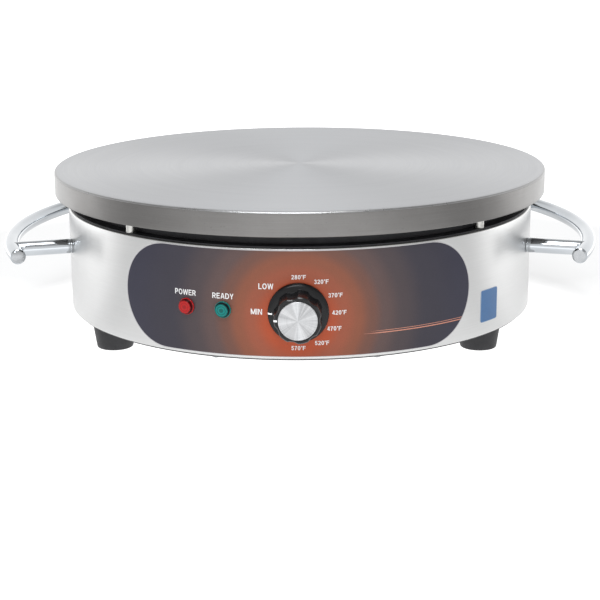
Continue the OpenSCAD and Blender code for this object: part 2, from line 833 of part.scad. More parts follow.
module block_screws() {
  color([0.80, 0.79, 0.75]) for (s = [-1, 1])
    translate([30 * s, block_y, z_base]) {
      translate([0, 0, -2]) cylinder(h = 2, r = 3.6);
      translate([0, 0, -1]) cylinder(h = 14, r = 2);
      translate([0, 0, base_t + 4]) difference() {
        hex(7, 3);
        cylinder(h = 9, r = 1.9, center = true);
      }
    }
}

module earth_stud() {
  color([0.80, 0.79, 0.75]) translate([70, 128, z_base]) {
    translate([0, 0, -1.5]) cylinder(h = 1.5, r = 5);
    translate([0, 0, -1]) cylinder(h = 20, r = 2.5);
  }
}

module earth_nuts() {
  color([0.80, 0.66, 0.38]) translate([70, 128, z_drum])
    for (z = [0, 6]) translate([0, 0, z]) difference() {
      hex(8, 4);
      translate([0, 0, -1]) cylinder(h = 8, r = 2.52);
    }
}

// ---------- cord gland ----------
module gland_body() {
  color([0.10, 0.10, 0.11]) translate([0, 0, gland_z]) rotate([-90, 0, 0])
    difference() {
      union() {
        translate([0, 0, drum_r + 0.1]) rotate([0, 0, 30]) hex(22, 5.4);
        translate([0, 0, drum_in - 8]) cylinder(h = 16, r = 9);
        translate([0, 0, drum_r + 5]) cylinder(h = 10, r = 9);
      }
      translate([0, 0, drum_in - 9]) cylinder(h = 60, r = 5);
      translate([0, 0, drum_r + 3.5]) cylinder(h = 60, r = 6.6);
    }
}

module gland_cap() {
  color([0.10, 0.10, 0.11]) translate([0, 0, gland_z]) rotate([-90, 0, 0])
    difference() {
      union() {
        translate([0, 0, drum_r + 6]) rotate([0, 0, 30]) hex(21, 11);
        rotate_extrude() polygon([[0, drum_r + 12], [10.5, drum_r + 12],
          [10.5, drum_r + 17], [8.4, drum_r + 24.2], [7.2, drum_r + 25.5],
          [0, drum_r + 25.5]]);
      }
      translate([0, 0, drum_r + 5.5]) cylinder(h = 10.2, r = 9.1);
      translate([0, 0, drum_r + 5.5]) cylinder(h = 16.2, r = 6.8);
      translate([0, 0, drum_r]) cylinder(h = 40, r = 5);
    }
}

module gland_seal() {
  color([0.16, 0.16, 0.17]) translate([0, 0, gland_z]) rotate([-90, 0, 0])
    difference() {
      translate([0, 0, drum_r + 3.6]) cylinder(h = 17.8, r = 6.5);
      translate([0, 0, drum_r]) cylinder(h = 40, r = 4.25);
    }
}

module gland_locknut() {
  color([0.10, 0.10, 0.11]) translate([0, 0, gland_z]) rotate([-90, 0, 0])
    translate([0, 0, drum_in - 5.1]) difference() {
      rotate([0, 0, 30]) hex(22, 4.5);
      translate([0, 0, -1]) cylinder(h = 8, r = 9.05);
    }
}

// ---------- internal wiring ----------
z_w = z_drum + 8;                // height of the block's wire entries
y_w = block_y - 9;
y_t = -(th_front - th_depth - 8); // ends of the thermostat's tabs
x_t = [for (x = [-11, 0.5, 12]) knob_x + x];
z_q = z_leg - 14;                // lower ends of the element's tabs

module live_wires() {
  color([0.65, 0.12, 0.10]) {
    // block to thermostat
    wire([[-15, y_w, z_w], [-15, y_w - 12, z_w], [-40, 76, z_w + 1],
          [-50, 0, z_w + 6], [-44, -70, z_w + 20], [-30, -112, knob_z + 2],
          [x_t[0], -130, knob_z - 1], [x_t[0], y_t, knob_z - 3.6]], 1.5);
    // thermostat to cutout
    wire([[x_t[2], y_t, knob_z - 5], [x_t[2], y_t + 10, knob_z - 6],
          [48, -102, knob_z - 14], [86, -30, knob_z - 12],
          [86, 26, knob_z - 4], [76, 39, z_pan - 26], [74.5, 40, z_pan - 18]],
         1.5);
    // cutout to the outer end of the element
    wire([[65.5, 40, z_pan - 18], [65.2, 39, z_pan - 26],
          [60, 0, z_pan - 32], [54, -60, z_pan - 32], [48, -115, z_pan - 32],
          [42, -139, z_q - 9], leg1 + [0, 0, z_q]], 1.5);
  }
}

module neutral_wires() {
  color([0.93, 0.93, 0.90])
    // block to the inner end of the element
    wire([[15, y_w, z_w], [15, y_w - 12, z_w], [24, 50, z_w + 2],
          [29, -30, z_w + 6], [31, -72, z_w + 14],
          leg2 + [-1.4, 0, z_q - 9], leg2 + [-1.4, 0, z_q]], 1.5);
}

module earth_wires() {
  color([0.12, 0.45, 0.18]) {
    // block to the earth stud
    wire([[0, y_w, z_w], [0, y_w - 10, z_w - 0.5], [8, 106, z_drum + 2],
          [28, 98, z_drum + 2], [48, 112, z_drum + 4],
          [55.3, 119.2, z_drum + 5], [62.2, 123.3, z_drum + 5]], 1.5);
    // ring lug
    translate([70, 128, z_drum + 4.1]) difference() {
      union() {
        cylinder(h = 1.8, r = 4.6);
        rotate([0, 0, 211]) translate([0, -2, 0]) cube([9, 4, 1.8]);
      }
      translate([0, 0, -1]) cylinder(h = 6, r = 2.6);
    }
  }
}

module lamp_wires() {
  // rear end of a lamp, shifted sideways by s and up by h
  function rear(i, s = 0, h = 0) = let (a = lamp_angles[i])
    (drum_r - 25) * [cos(a), sin(a), 0]
    + s * [-sin(a), cos(a), 0] + [0, 0, lamp_z + h];
  function back(i, d) = -d * [cos(lamp_angles[i]), sin(lamp_angles[i]), 0];
  color([0.18, 0.18, 0.20]) {
    // thermostat to the first lamp
    wire([rear(0, 1.8), rear(0, 1.8) + back(0, 8), [-50, -126, knob_z - 4],
          [-22, -126, knob_z - 7], [x_t[0], -134, knob_z - 6.9],
          [x_t[0], y_t, knob_z - 6.9]], 0.9);
    // first lamp to the inner end of the element
    wire([rear(0, -1.8, -1.2), rear(0, -1.8, -1.2) + back(0, 8),
          [-64, -110, knob_z - 14], [-20, -96, knob_z - 18],
          [24, -94, knob_z - 16], leg2 + [2.4, -2, z_q - 8],
          leg2 + [1.9, 0, z_q]], 0.9);
    // thermostat to the second lamp
    wire([rear(1, 1.8), rear(1, 1.8) + back(1, 8), [-28, -138, knob_z - 9],
          [-9, -128, knob_z - 14], [x_t[1], -134, knob_z - 6.5],
          [x_t[1], y_t, knob_z - 5]], 0.9);
    // lamp to lamp
    wire([rear(1, -1.8), rear(1, -1.8) + back(1, 7), [-52, -140, lamp_z + 8],
          [-66, -138, lamp_z + 8], rear(0, -1.8, 2.6) + back(0, 7),
          rear(0, -1.8, 2.6)], 0.9);
  }
}

cooking_plate();
plate_spacers();
plate_studs();
plate_nuts();
heating_element();
element_insulators();
element_terminals();
element_clamp_bars();
element_clamp_studs();
element_clamp_nuts();
heat_pan();
insulation_disc();
sensor_bulb();
sensor_clip();
sensor_clip_screw();
capillary_tube();
pan_grommet();
thermal_cutout();
cutout_screws();
housing_shell();
base_plate();
base_screws();
feet();
foot_washers();
foot_screws();
foot_nuts();
left_handle_bar();
right_handle_bar();
handle_posts();
handle_bolts();
handle_washers();
control_overlay();
side_label();
control_knob();
knob_cap();
knob_index_marks();
knob_spring_clip();
thermostat_shaft();
thermostat_body();
thermostat_bushing();
bushing_nut();
thermostat_terminals();
power_lamp_lens();
ready_lamp_lens();
lamp_bodies();
lamp_clips();
terminal_block();
terminal_barrels();
terminal_screws();
block_screws();
earth_stud();
earth_nuts();
gland_body();
gland_cap();
gland_seal();
gland_locknut();
live_wires();
neutral_wires();
earth_wires();
lamp_wires();
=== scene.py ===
import math

import bpy
from mathutils import Matrix, Vector


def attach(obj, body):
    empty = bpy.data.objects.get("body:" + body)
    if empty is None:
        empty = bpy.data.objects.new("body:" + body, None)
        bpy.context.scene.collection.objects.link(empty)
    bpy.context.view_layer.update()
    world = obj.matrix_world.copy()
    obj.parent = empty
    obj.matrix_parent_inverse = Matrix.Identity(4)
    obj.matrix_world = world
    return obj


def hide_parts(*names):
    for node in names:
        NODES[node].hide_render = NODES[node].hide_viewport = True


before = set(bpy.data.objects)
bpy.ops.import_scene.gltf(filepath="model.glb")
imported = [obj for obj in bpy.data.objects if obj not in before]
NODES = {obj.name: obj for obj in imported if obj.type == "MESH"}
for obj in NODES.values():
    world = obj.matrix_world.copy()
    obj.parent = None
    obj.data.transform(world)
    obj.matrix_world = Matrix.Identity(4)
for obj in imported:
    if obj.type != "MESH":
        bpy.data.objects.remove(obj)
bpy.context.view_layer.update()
MM = 0.001

# ---------------------------------------------------------------- dimensions
# millimetres, the same numbers as the construction
DRUM_R = 192.5
SKIN_R = 192.95            # outer face of the printed panel
Z_DRUM = 22.0
Z_RIM = 105.7
Z_PLATE = 116.0
Z_TOP = 135.0
PLATE_R = 203.2
PANEL_Z = 64.2
PANEL_R = 40.3
PANEL_HALF = 142.2
PANEL_MID = 1.11           # its middle, along the drum
KNOB_X, KNOB_Z, KNOB_Y = 2.0, 58.2, 193.8
KNOB_R = 22.5
KNOB_LEN, CAP_LEN = 23.4, 24.2
CAP_R = 14.3
LAMP_Z = 58.5
LAMPS = (-24.8, -16.1)
BAR_RING, BAR_R = 240.0, 6.1
BAR_FRONT, BAR_REAR = -22.9, 35.9      # ends of a bar, degrees behind the side axis
POST_FRONT, POST_REAR = -16.0, 29.0
POST_R, HANDLE_Z = 6.0, 76.5
FEET, FOOT_H = ((168.0, 90.0), (169.4, 208.8), (166.6, 330.1)), 20.8
LABEL_ARC, LABEL_Z, LABEL_W, LABEL_H = 169.0, 45.2, 21.9, 25.6


# ---------------------------------------------------------------- colours
def lin(c):
    c /= 255.0
    return c / 12.92 if c <= 0.04045 else ((c + 0.055) / 1.055) ** 2.4


def rgb(r, g, b):
    return (lin(r), lin(g), lin(b), 1.0)


def grey(v):
    return (v, v, v, 1.0)


# ---------------------------------------------------------------- node materials
class Mat:
    """A node material with one Principled shader and short helpers."""

    def __init__(self, name):
        self.m = bpy.data.materials.new("look_" + name)
        self.m.use_nodes = True
        self.nt = self.m.node_tree
        self.nt.nodes.clear()
        self.out = self.nt.nodes.new("ShaderNodeOutputMaterial")
        self.b = self.nt.nodes.new("ShaderNodeBsdfPrincipled")
        self.nt.links.new(self.b.outputs[0], self.out.inputs[0])
        self._obj = None
        self._sep = None

    def put(self, sock, v):
        if isinstance(v, bpy.types.NodeSocket):
            self.nt.links.new(v, sock)
        elif isinstance(v, (tuple, list)) and sock.type == "RGBA" and len(v) == 3:
            sock.default_value = (*v, 1.0)
        else:
            sock.default_value = v

    def set(self, **kw):
        names = {
            "color": "Base Color", "metal": "Metallic", "rough": "Roughness",
            "ior": "IOR", "aniso": "Anisotropic", "aniso_rot": "Anisotropic Rotation",
            "tangent": "Tangent", "normal": "Normal", "coat": "Coat Weight",
            "coat_rough": "Coat Roughness", "coat_ior": "Coat IOR",
            "trans": "Transmission Weight", "spec": "Specular IOR Level",
            "tint": "Specular Tint", "sheen": "Sheen Weight",
            "sheen_rough": "Sheen Roughness", "sss": "Subsurface Weight",
            "sss_scale": "Subsurface Scale", "sss_radius": "Subsurface Radius",
            "emit": "Emission Color", "emit_k": "Emission Strength",
        }
        for k, v in kw.items():
            self.put(self.b.inputs[names[k]], v)
        return self

    def node(self, kind, ins=None, **attrs):
        n = self.nt.nodes.new(kind)
        for k, v in attrs.items():
            setattr(n, k, v)
        for k, v in (ins or {}).items():
            self.put(n.inputs[k], v)
        return n

    def obj(self):
        if self._obj is None:
            self._obj = self.node("ShaderNodeTexCoord").outputs["Object"]
        return self._obj

    def xyz(self):
        if self._sep is None:
            self._sep = self.node("ShaderNodeSeparateXYZ", {0: self.obj()})
        return self._sep.outputs[0], self._sep.outputs[1], self._sep.outputs[2]

    def math(self, op, a, b=None, c=None, clamp=False):
        ins = {0: a}
        if b is not None:
            ins[1] = b
        if c is not None:
            ins[2] = c
        return self.node("ShaderNodeMath", ins, operation=op, use_clamp=clamp).outputs[0]

    def vec(self, x, y, z):
        return self.node("ShaderNodeCombineXYZ", {0: x, 1: y, 2: z}).outputs[0]

    def scaled(self, sx, sy, sz, src=None):
        n = self.node("ShaderNodeMapping", {"Vector": src or self.obj()})
        n.inputs["Scale"].default_value = (sx, sy, sz)
        return n.outputs[0]

    def noise(self, scale=100.0, detail=3.0, rough=0.5, vec=None, dist=0.0):
        n = self.node("ShaderNodeTexNoise", {"Vector": vec or self.obj()})
        n.inputs["Scale"].default_value = scale
        n.inputs["Detail"].default_value = detail
        n.inputs["Roughness"].default_value = rough
        n.inputs["Distortion"].default_value = dist
        return n.outputs["Fac"]

    def voronoi(self, scale, feature="F1", vec=None, out="Distance"):
        n = self.node("ShaderNodeTexVoronoi", {"Vector": vec or self.obj()}, feature=feature)
        n.inputs["Scale"].default_value = scale
        return n.outputs[out]

    def remap(self, v, a, b, lo, hi, smooth=False):
        n = self.node("ShaderNodeMapRange", {0: v}, clamp=True)
        if smooth:
            n.interpolation_type = "SMOOTHSTEP"
        for i, x in zip((1, 2, 3, 4), (a, b, lo, hi)):
            n.inputs[i].default_value = x
        return n.outputs[0]

    def mix(self, fac, a, b, mode="MIX"):
        n = self.node("ShaderNodeMix", data_type="RGBA", blend_type=mode)
        self.put(n.inputs[0], fac)
        self.put(n.inputs[6], a)
        self.put(n.inputs[7], b)
        return n.outputs[2]

    def ramp(self, fac, stops, interp="LINEAR"):
        n = self.node("ShaderNodeValToRGB", {0: fac})
        cr = n.color_ramp
        cr.interpolation = interp
        while len(cr.elements) > 1:
            cr.elements.remove(cr.elements[-1])
        cr.elements[0].position, cr.elements[0].color = stops[0]
        for p, c in stops[1:]:
            cr.elements.new(p).color = c
        return n.outputs[0]

    def bump(self, height, strength=0.3, dist=0.0002, normal=None):
        ins = {"Height": height}
        if normal is not None:
            ins["Normal"] = normal
        n = self.node("ShaderNodeBump", ins)
        n.inputs["Strength"].default_value = strength
        n.inputs["Distance"].default_value = dist
        return n.outputs[0]

    def radius(self):
        x, y, _ = self.xyz()
        return self.math("SQRT", self.math("ADD", self.math("MULTIPLY", x, x),
                                           self.math("MULTIPLY", y, y)))

    def arc(self):
        """Distance along the drum from the front centre line, in metres."""
        x, y, _ = self.xyz()
        a = self.math("ARCTAN2", x, self.math("MULTIPLY", y, -1.0))
        return self.math("MULTIPLY", a, DRUM_R * MM)

    def around(self, axis):
        return self.node("ShaderNodeTangent", direction_type="RADIAL", axis=axis).outputs[0]


def plain(name, color, metal=0.0, rough=0.5, var=0.12, scale=60.0, rvar=0.08,
          bump=0.0, bump_scale=900.0, bump_dist=0.0001, coat=0.0, **kw):
    """Even finish with small changes of tone and gloss, and an optional fine grain."""
    m = Mat(name)
    n = m.noise(scale, 4.0, 0.55)
    lo = tuple(c * (1 - var) for c in color[:3]) + (1.0,)
    hi = tuple(min(1.0, c * (1 + var)) for c in color[:3]) + (1.0,)
    m.set(color=m.ramp(n, [(0.3, lo), (0.7, hi)]), metal=metal,
          rough=m.remap(m.noise(scale * 2.3, 3.0), 0.3, 0.7, rough - rvar, rough + rvar))
    if coat:
        m.set(coat=coat, coat_rough=0.08)
    if bump:
        m.set(normal=m.bump(m.noise(bump_scale, 3.0, 0.6), bump, bump_dist))
    m.set(**kw)
    return m.m


def plate_top_material():
    """Cast iron, ground flat on a turntable: very fine rings, faint clouds of heat tint."""
    m = Mat("plate_top")
    x, y, z = m.xyz()
    r = m.radius()
    fine = m.noise(1.0, 2.0, 0.5, m.vec(m.math("MULTIPLY", x, 14.0),
                                        m.math("MULTIPLY", y, 14.0),
                                        m.math("MULTIPLY", r, 2600.0)))
    broad = m.noise(1.0, 2.0, 0.5, m.vec(m.math("MULTIPLY", x, 3.0),
                                         m.math("MULTIPLY", y, 3.0),
                                         m.math("MULTIPLY", r, 120.0)))
    cloud = m.noise(9.0, 3.0, 0.5)
    grain = m.noise(1500.0, 2.0, 0.6)
    tone = m.math("ADD", m.math("MULTIPLY", fine, 0.40),
                  m.math("ADD", m.math("MULTIPLY", broad, 0.15),
                         m.math("ADD", m.math("MULTIPLY", cloud, 0.20),
                                m.math("MULTIPLY", grain, 0.25))))
    base = m.ramp(tone, [(0.30, (0.432, 0.438, 0.452, 1)), (0.70, (0.498, 0.504, 0.516, 1))])
    m.set(color=base, metal=1.0, rough=m.remap(tone, 0.3, 0.7, 0.45, 0.40),
          aniso=0.5, aniso_rot=0.25, tangent=m.around("Z"),
          normal=m.bump(fine, 0.04, 0.00006))
    return m.m


def plate_edge_material():
    """The turned corner of the plate, smoother and brighter than the side below it."""
    m = Mat("plate_edge")
    x, y, z = m.xyz()
    turned = m.noise(1.0, 2.0, 0.5, m.vec(m.math("MULTIPLY", x, 18.0),
                                          m.math("MULTIPLY", y, 18.0),
                                          m.math("MULTIPLY", z, 3600.0)))
    wear = m.noise(160.0, 4.0, 0.6)
    t = m.math("ADD", m.math("MULTIPLY", turned, 0.5), m.math("MULTIPLY", wear, 0.5))
    m.set(color=m.ramp(t, [(0.3, (0.30, 0.30, 0.30, 1)), (0.7, (0.36, 0.36, 0.36, 1))]), metal=1.0,
          rough=m.remap(wear, 0.3, 0.7, 0.26, 0.33), normal=m.bump(turned, 0.05, 0.00004))
    return m.m


def plate_side_material():
    """Turned cast iron: fine level lines, a matt grain and a few open pores."""
    m = Mat("plate_side")
    x, y, z = m.xyz()
    speck = m.noise(2100.0, 2.0, 0.6)
    turned = m.noise(1.0, 3.0, 0.6, m.vec(m.math("MULTIPLY", x, 26.0),
                                          m.math("MULTIPLY", y, 26.0),
                                          m.math("MULTIPLY", z, 3400.0)))
    blot = m.noise(30.0, 4.0, 0.55)
    tone = m.math("ADD", m.math("MULTIPLY", speck, 0.30),
                  m.math("ADD", m.math("MULTIPLY", turned, 0.40),
                         m.math("MULTIPLY", blot, 0.30)))
    base = m.ramp(tone, [(0.30, (0.140, 0.136, 0.132, 1)), (0.50, (0.162, 0.158, 0.154, 1)),
                         (0.70, (0.190, 0.186, 0.182, 1))])
    pores = m.remap(m.noise(760.0, 2.0, 0.5), 0.26, 0.33, 0.0, 1.0)
    base = m.mix(m.remap(pores, 0.0, 1.0, 0.35, 0.0), base, (0.07, 0.068, 0.066, 1))
    m.set(color=base, metal=1.0, rough=m.remap(blot, 0.3, 0.7, 0.36, 0.32),
          aniso=0.45, aniso_rot=0.25, tangent=m.around("Z"),
          normal=m.bump(m.math("ADD", turned, m.math("MULTIPLY", speck, 0.6)), 0.10, 0.00008))
    return m.m


def drum_material():
    """Stainless sheet brushed along its length, so that the lines run round the drum."""
    m = Mat("drum_stainless")
    x, y, z = m.xyz()
    hair = m.noise(1.0, 3.0, 0.6, m.vec(m.math("MULTIPLY", x, 46.0),
                                        m.math("MULTIPLY", y, 46.0),
                                        m.math("MULTIPLY", z, 7800.0)))
    band = m.noise(1.0, 2.0, 0.5, m.vec(m.math("MULTIPLY", x, 11.0),
                                        m.math("MULTIPLY", y, 11.0),
                                        m.math("MULTIPLY", z, 1300.0)))
    smudge = m.noise(22.0, 4.0, 0.55)
    tone = m.math("ADD", m.math("MULTIPLY", hair, 0.7), m.math("MULTIPLY", band, 0.3))
    base = m.ramp(tone, [(0.30, (0.545, 0.545, 0.542, 1)), (0.70, (0.605, 0.605, 0.602, 1))])
    rough = m.math("ADD", m.remap(tone, 0.3, 0.7, 0.315, 0.285),
                   m.remap(smudge, 0.35, 0.75, 0.0, 0.03))
    m.set(color=base, metal=1.0, rough=rough, aniso=0.68, aniso_rot=0.25,
          tangent=m.around("Z"), normal=m.bump(tone, 0.025, 0.00003))
    return m.m


def rim_material():
    """The drum's rolled edge, burnished smooth by the rolling."""
    m = Mat("drum_rim")
    x, y, z = m.xyz()
    run = m.noise(1.0, 3.0, 0.6, m.vec(m.math("MULTIPLY", x, 40.0), m.math("MULTIPLY", y, 40.0),
                                       m.math("MULTIPLY", z, 5200.0)))
    m.set(color=m.ramp(run, [(0.3, (0.51, 0.51, 0.505, 1)), (0.7, (0.57, 0.57, 0.565, 1))]),
          metal=1.0, rough=m.remap(run, 0.3, 0.7, 0.13, 0.17), normal=m.bump(run, 0.02, 0.00003))
    return m.m


def small_steel(name, color, rough=0.3, tint=None):
    m = Mat(name)
    n = m.noise(420.0, 3.0, 0.6)
    lo = tuple(c * 0.86 for c in color[:3]) + (1.0,)
    hi = tuple(min(1.0, c * 1.08) for c in color[:3]) + (1.0,)
    base = m.ramp(n, [(0.3, lo), (0.7, hi)])
    if tint:
        base = m.mix(m.remap(m.noise(150.0, 2.0), 0.45, 0.7, 0.0, 0.35), base, tint)
    m.set(color=base, metal=1.0, rough=m.remap(m.noise(260.0, 3.0), 0.3, 0.7, rough - 0.06, rough + 0.08),
          normal=m.bump(m.noise(1700.0, 2.0), 0.08, 0.00005))
    return m.m


def chrome_material():
    """Bright chrome plate, with the faint orange peel and wipe marks of a handled bar."""
    m = Mat("chrome")
    wipe = m.noise(1.0, 4.0, 0.6, m.scaled(60.0, 22.0, 160.0))
    m.set(color=m.ramp(m.noise(35.0, 2.0), [(0.3, (0.460, 0.484, 0.508, 1)), (0.7, (0.510, 0.532, 0.555, 1))]),
          metal=1.0, rough=m.remap(wipe, 0.45, 0.75, 0.05, 0.11),
          normal=m.bump(m.noise(420.0, 1.0), 0.012, 0.00005))
    return m.m


def cut_end_material():
    """The bars' sawn and faced ends, plated over the turning marks."""
    m = Mat("chrome_cut_end")
    n = m.noise(300.0, 4.0, 0.6)
    m.set(color=m.ramp(n, [(0.3, (0.31, 0.32, 0.33, 1)), (0.7, (0.39, 0.40, 0.41, 1))]),
          metal=1.0, rough=m.remap(n, 0.3, 0.7, 0.22, 0.32), normal=m.bump(n, 0.06, 0.00005))
    return m.m


def pan_material():
    """Dark blue-black enamel with faint heat staining."""
    m = Mat("pan_black")
    n = m.noise(45.0, 4.0, 0.6)
    m.set(color=m.ramp(n, [(0.3, (0.014, 0.014, 0.016, 1)), (0.7, (0.026, 0.026, 0.030, 1))]),
          rough=m.remap(m.noise(120.0, 3.0), 0.3, 0.7, 0.48, 0.60), spec=0.35,
          normal=m.bump(m.noise(500.0, 2.0), 0.08, 0.0001))
    return m.m


def sheet_with_painted_shade_material():
    """Dark stove enamel on sheet steel, with a fine orange peel; its near-black tone is also painted shade, for the
    dark line under the drum's lower edge.
    """
    m = Mat("base_steel")
    n = m.noise(70.0, 4.0, 0.6)
    peel = m.noise(620.0, 2.0, 0.5)
    m.set(color=m.ramp(n, [(0.3, (0.034, 0.034, 0.036, 1)), (0.7, (0.050, 0.050, 0.053, 1))]),
          rough=m.remap(n, 0.3, 0.7, 0.40, 0.50), spec=0.4, normal=m.bump(peel, 0.12, 0.00008))
    return m.m


def rubber_material():
    """Moulded rubber with a fine spark-eroded grain and a little dust in it."""
    m = Mat("rubber_black")
    grain = m.noise(1500.0, 2.0, 0.6)
    dust = m.noise(120.0, 5.0, 0.65)
    base = m.ramp(dust, [(0.35, (0.016, 0.016, 0.018, 1)), (0.75, (0.026, 0.026, 0.029, 1))])
    m.set(color=base, rough=m.remap(grain, 0.3, 0.7, 0.55, 0.72), spec=0.45,
          normal=m.bump(grain, 0.25, 0.00012), sheen=0.08, sheen_rough=0.5)
    return m.m


def panel_film_material():
    """Printed polycarbonate: a warm glow behind the knob that fades to slate at the ends."""
    m = Mat("overlay_print")
    x, y, z = m.xyz()
    arc = m.arc()
    u = m.math("SUBTRACT", arc, 0.002)
    v = m.math("SUBTRACT", z, 0.0530)
    d = m.math("SQRT", m.math("ADD", m.math("MULTIPLY", u, u), m.math("MULTIPLY", v, v)))
    glow = m.ramp(m.math("MULTIPLY", d, 1.0 / 0.150), [
        (0.00, (0.355, 0.056, 0.014, 1)), (0.150, (0.345, 0.054, 0.014, 1)),
        (0.233, (0.245, 0.063, 0.031, 1)), (0.300, (0.192, 0.060, 0.031, 1)),
        (0.367, (0.122, 0.052, 0.037, 1)), (0.433, (0.082, 0.050, 0.047, 1)),
        (0.533, (0.052, 0.039, 0.043, 1)), (0.667, (0.031, 0.028, 0.039, 1)),
        (0.933, (0.026, 0.025, 0.042, 1)), (1.000, (0.026, 0.026, 0.044, 1)),
    ], "EASE")
    grain = m.noise(1900.0, 2.0, 0.7)
    mottle = m.noise(60.0, 3.0, 0.5)
    k = m.math("ADD", m.remap(grain, 0.3, 0.7, 0.90, 1.08), m.remap(mottle, 0.3, 0.7, -0.03, 0.03))
    col = m.mix(1.0, glow, m.node("ShaderNodeCombineColor", {0: k, 1: k, 2: k}).outputs[0], "MULTIPLY")
    # painted highlight: a light grey line along the film's border stands in for light catching its cut edge
    along = m.math("ABSOLUTE", m.math("SUBTRACT", arc, PANEL_MID * MM))
    au = m.math("MAXIMUM", m.math("SUBTRACT", along, (PANEL_HALF - PANEL_R) * MM), 0.0)
    av = m.math("SUBTRACT", z, PANEL_Z * MM)
    e = m.math("SQRT", m.math("ADD", m.math("MULTIPLY", au, au), m.math("MULTIPLY", av, av)))
    edge = m.remap(e, (PANEL_R - 0.62) * MM, (PANEL_R - 0.42) * MM, 0.0, 1.0)
    col = m.mix(edge, col, (0.42, 0.41, 0.42, 1))
    m.set(color=col, rough=m.remap(mottle, 0.3, 0.7, 0.30, 0.38), spec=0.25,
          normal=m.bump(grain, 0.05, 0.00005))
    return m.m


def pinstripe_material():
    m = Mat("pinstripe")
    arc = m.arc()
    fac = m.remap(arc, 0.050, 0.066, 0.0, 1.0, True)
    n = m.noise(700.0, 2.0)
    col = m.mix(fac, (0.30, 0.105, 0.068, 1), m.ramp(n, [(0.3, (0.44, 0.170, 0.110, 1)), (0.7, (0.52, 0.21, 0.140, 1))]))
    m.set(color=col, rough=0.35)
    return m.m


def ink_material(name="mark_white", v=0.86):
    m = Mat(name)
    n = m.noise(1300.0, 3.0, 0.6)
    m.set(color=m.ramp(n, [(0.3, grey(v * 0.95)), (0.7, grey(min(0.95, v * 1.04)))]),
          rough=m.remap(n, 0.3, 0.7, 0.42, 0.52), normal=m.bump(n, 0.08, 0.00003))
    return m.m


def label_material():
    """Small blank label: blue print, paler at its very edge, under a clear matt coat."""
    m = Mat("label_blue")
    x, y, z = m.xyz()
    du = m.math("ABSOLUTE", m.math("SUBTRACT", m.arc(), LABEL_ARC * MM))
    dv = m.math("ABSOLUTE", m.math("SUBTRACT", z, LABEL_Z * MM))
    # distance inside the nearest edge
    eu = m.math("SUBTRACT", LABEL_W / 2 * MM, du)
    ev = m.math("SUBTRACT", LABEL_H / 2 * MM, dv)
    e = m.math("MINIMUM", eu, ev)
    line = m.remap(e, 0.00028, 0.00045, 1.0, 0.0)
    n = m.noise(500.0, 3.0, 0.6)
    blue = m.ramp(n, [(0.3, (0.018, 0.092, 0.235, 1)), (0.7, (0.024, 0.112, 0.275, 1))])
    col = m.mix(line, blue, (0.20, 0.29, 0.42, 1))
    m.set(color=col, rough=m.remap(n, 0.3, 0.7, 0.38, 0.48), coat=0.2, coat_rough=0.2,
          normal=m.bump(n, 0.04, 0.00004))
    return m.m


def knob_plastic_material():
    """Black phenolic with a soft gloss and very faint flow marks."""
    m = Mat("knob_black")
    n = m.noise(90.0, 4.0, 0.6)
    m.set(color=m.ramp(n, [(0.3, (0.0050, 0.0050, 0.0055, 1)), (0.7, (0.0085, 0.0085, 0.0095, 1))]),
          rough=m.remap(m.noise(300.0, 3.0), 0.3, 0.7, 0.20, 0.26), spec=0.22,
          normal=m.bump(m.noise(260.0, 2.0), 0.02, 0.00008))
    return m.m


def knob_bevel_material():
    """The polished bevel round the grip's face, glossier than the moulding."""
    m = Mat("knob_bevel")
    n = m.noise(260.0, 3.0, 0.6)
    m.set(color=m.ramp(n, [(0.3, (0.010, 0.010, 0.011, 1)), (0.7, (0.016, 0.016, 0.017, 1))]),
          rough=m.remap(n, 0.3, 0.7, 0.14, 0.20), spec=0.5)
    return m.m


def spun_aluminium_painted_rays_material():
    """Aluminium faced in a lathe: rings so fine that they only show as rays of light, with painted light and dark
    rays in its colour as well.
    """
    m = Mat("knob_aluminium")
    x, y, z = m.xyz()
    u = m.math("SUBTRACT", x, KNOB_X * MM)
    v = m.math("SUBTRACT", z, KNOB_Z * MM)
    r = m.math("SQRT", m.math("ADD", m.math("MULTIPLY", u, u), m.math("MULTIPLY", v, v)))
    ring = m.noise(1.0, 2.0, 0.5, m.vec(m.math("MULTIPLY", u, 60.0), m.math("MULTIPLY", v, 60.0),
                                        m.math("MULTIPLY", r, 7200.0)))
    # painted light and shade: lighter and darker rays round the centre, the same at every radius, stand in for the
    # rays reflected by the spun face
    ang = m.math("ARCTAN2", v, u)
    painted_rays = m.noise(1.0, 2.0, 0.6, m.vec(m.math("MULTIPLY", m.math("COSINE", ang), 6.0),
                                       m.math("MULTIPLY", m.math("SINE", ang), 6.0), 0.5))
    t = m.math("ADD", m.math("MULTIPLY", ring, 0.35), m.math("MULTIPLY", painted_rays, 0.65))
    m.set(color=m.ramp(t, [(0.3, (0.28, 0.284, 0.292, 1)), (0.7, (0.62, 0.624, 0.632, 1))]),
          metal=1.0, rough=m.remap(ring, 0.3, 0.7, 0.40, 0.46), aniso=0.93, aniso_rot=0.25,
          tangent=m.around("Y"), normal=m.bump(ring, 0.02, 0.00002))
    return m.m


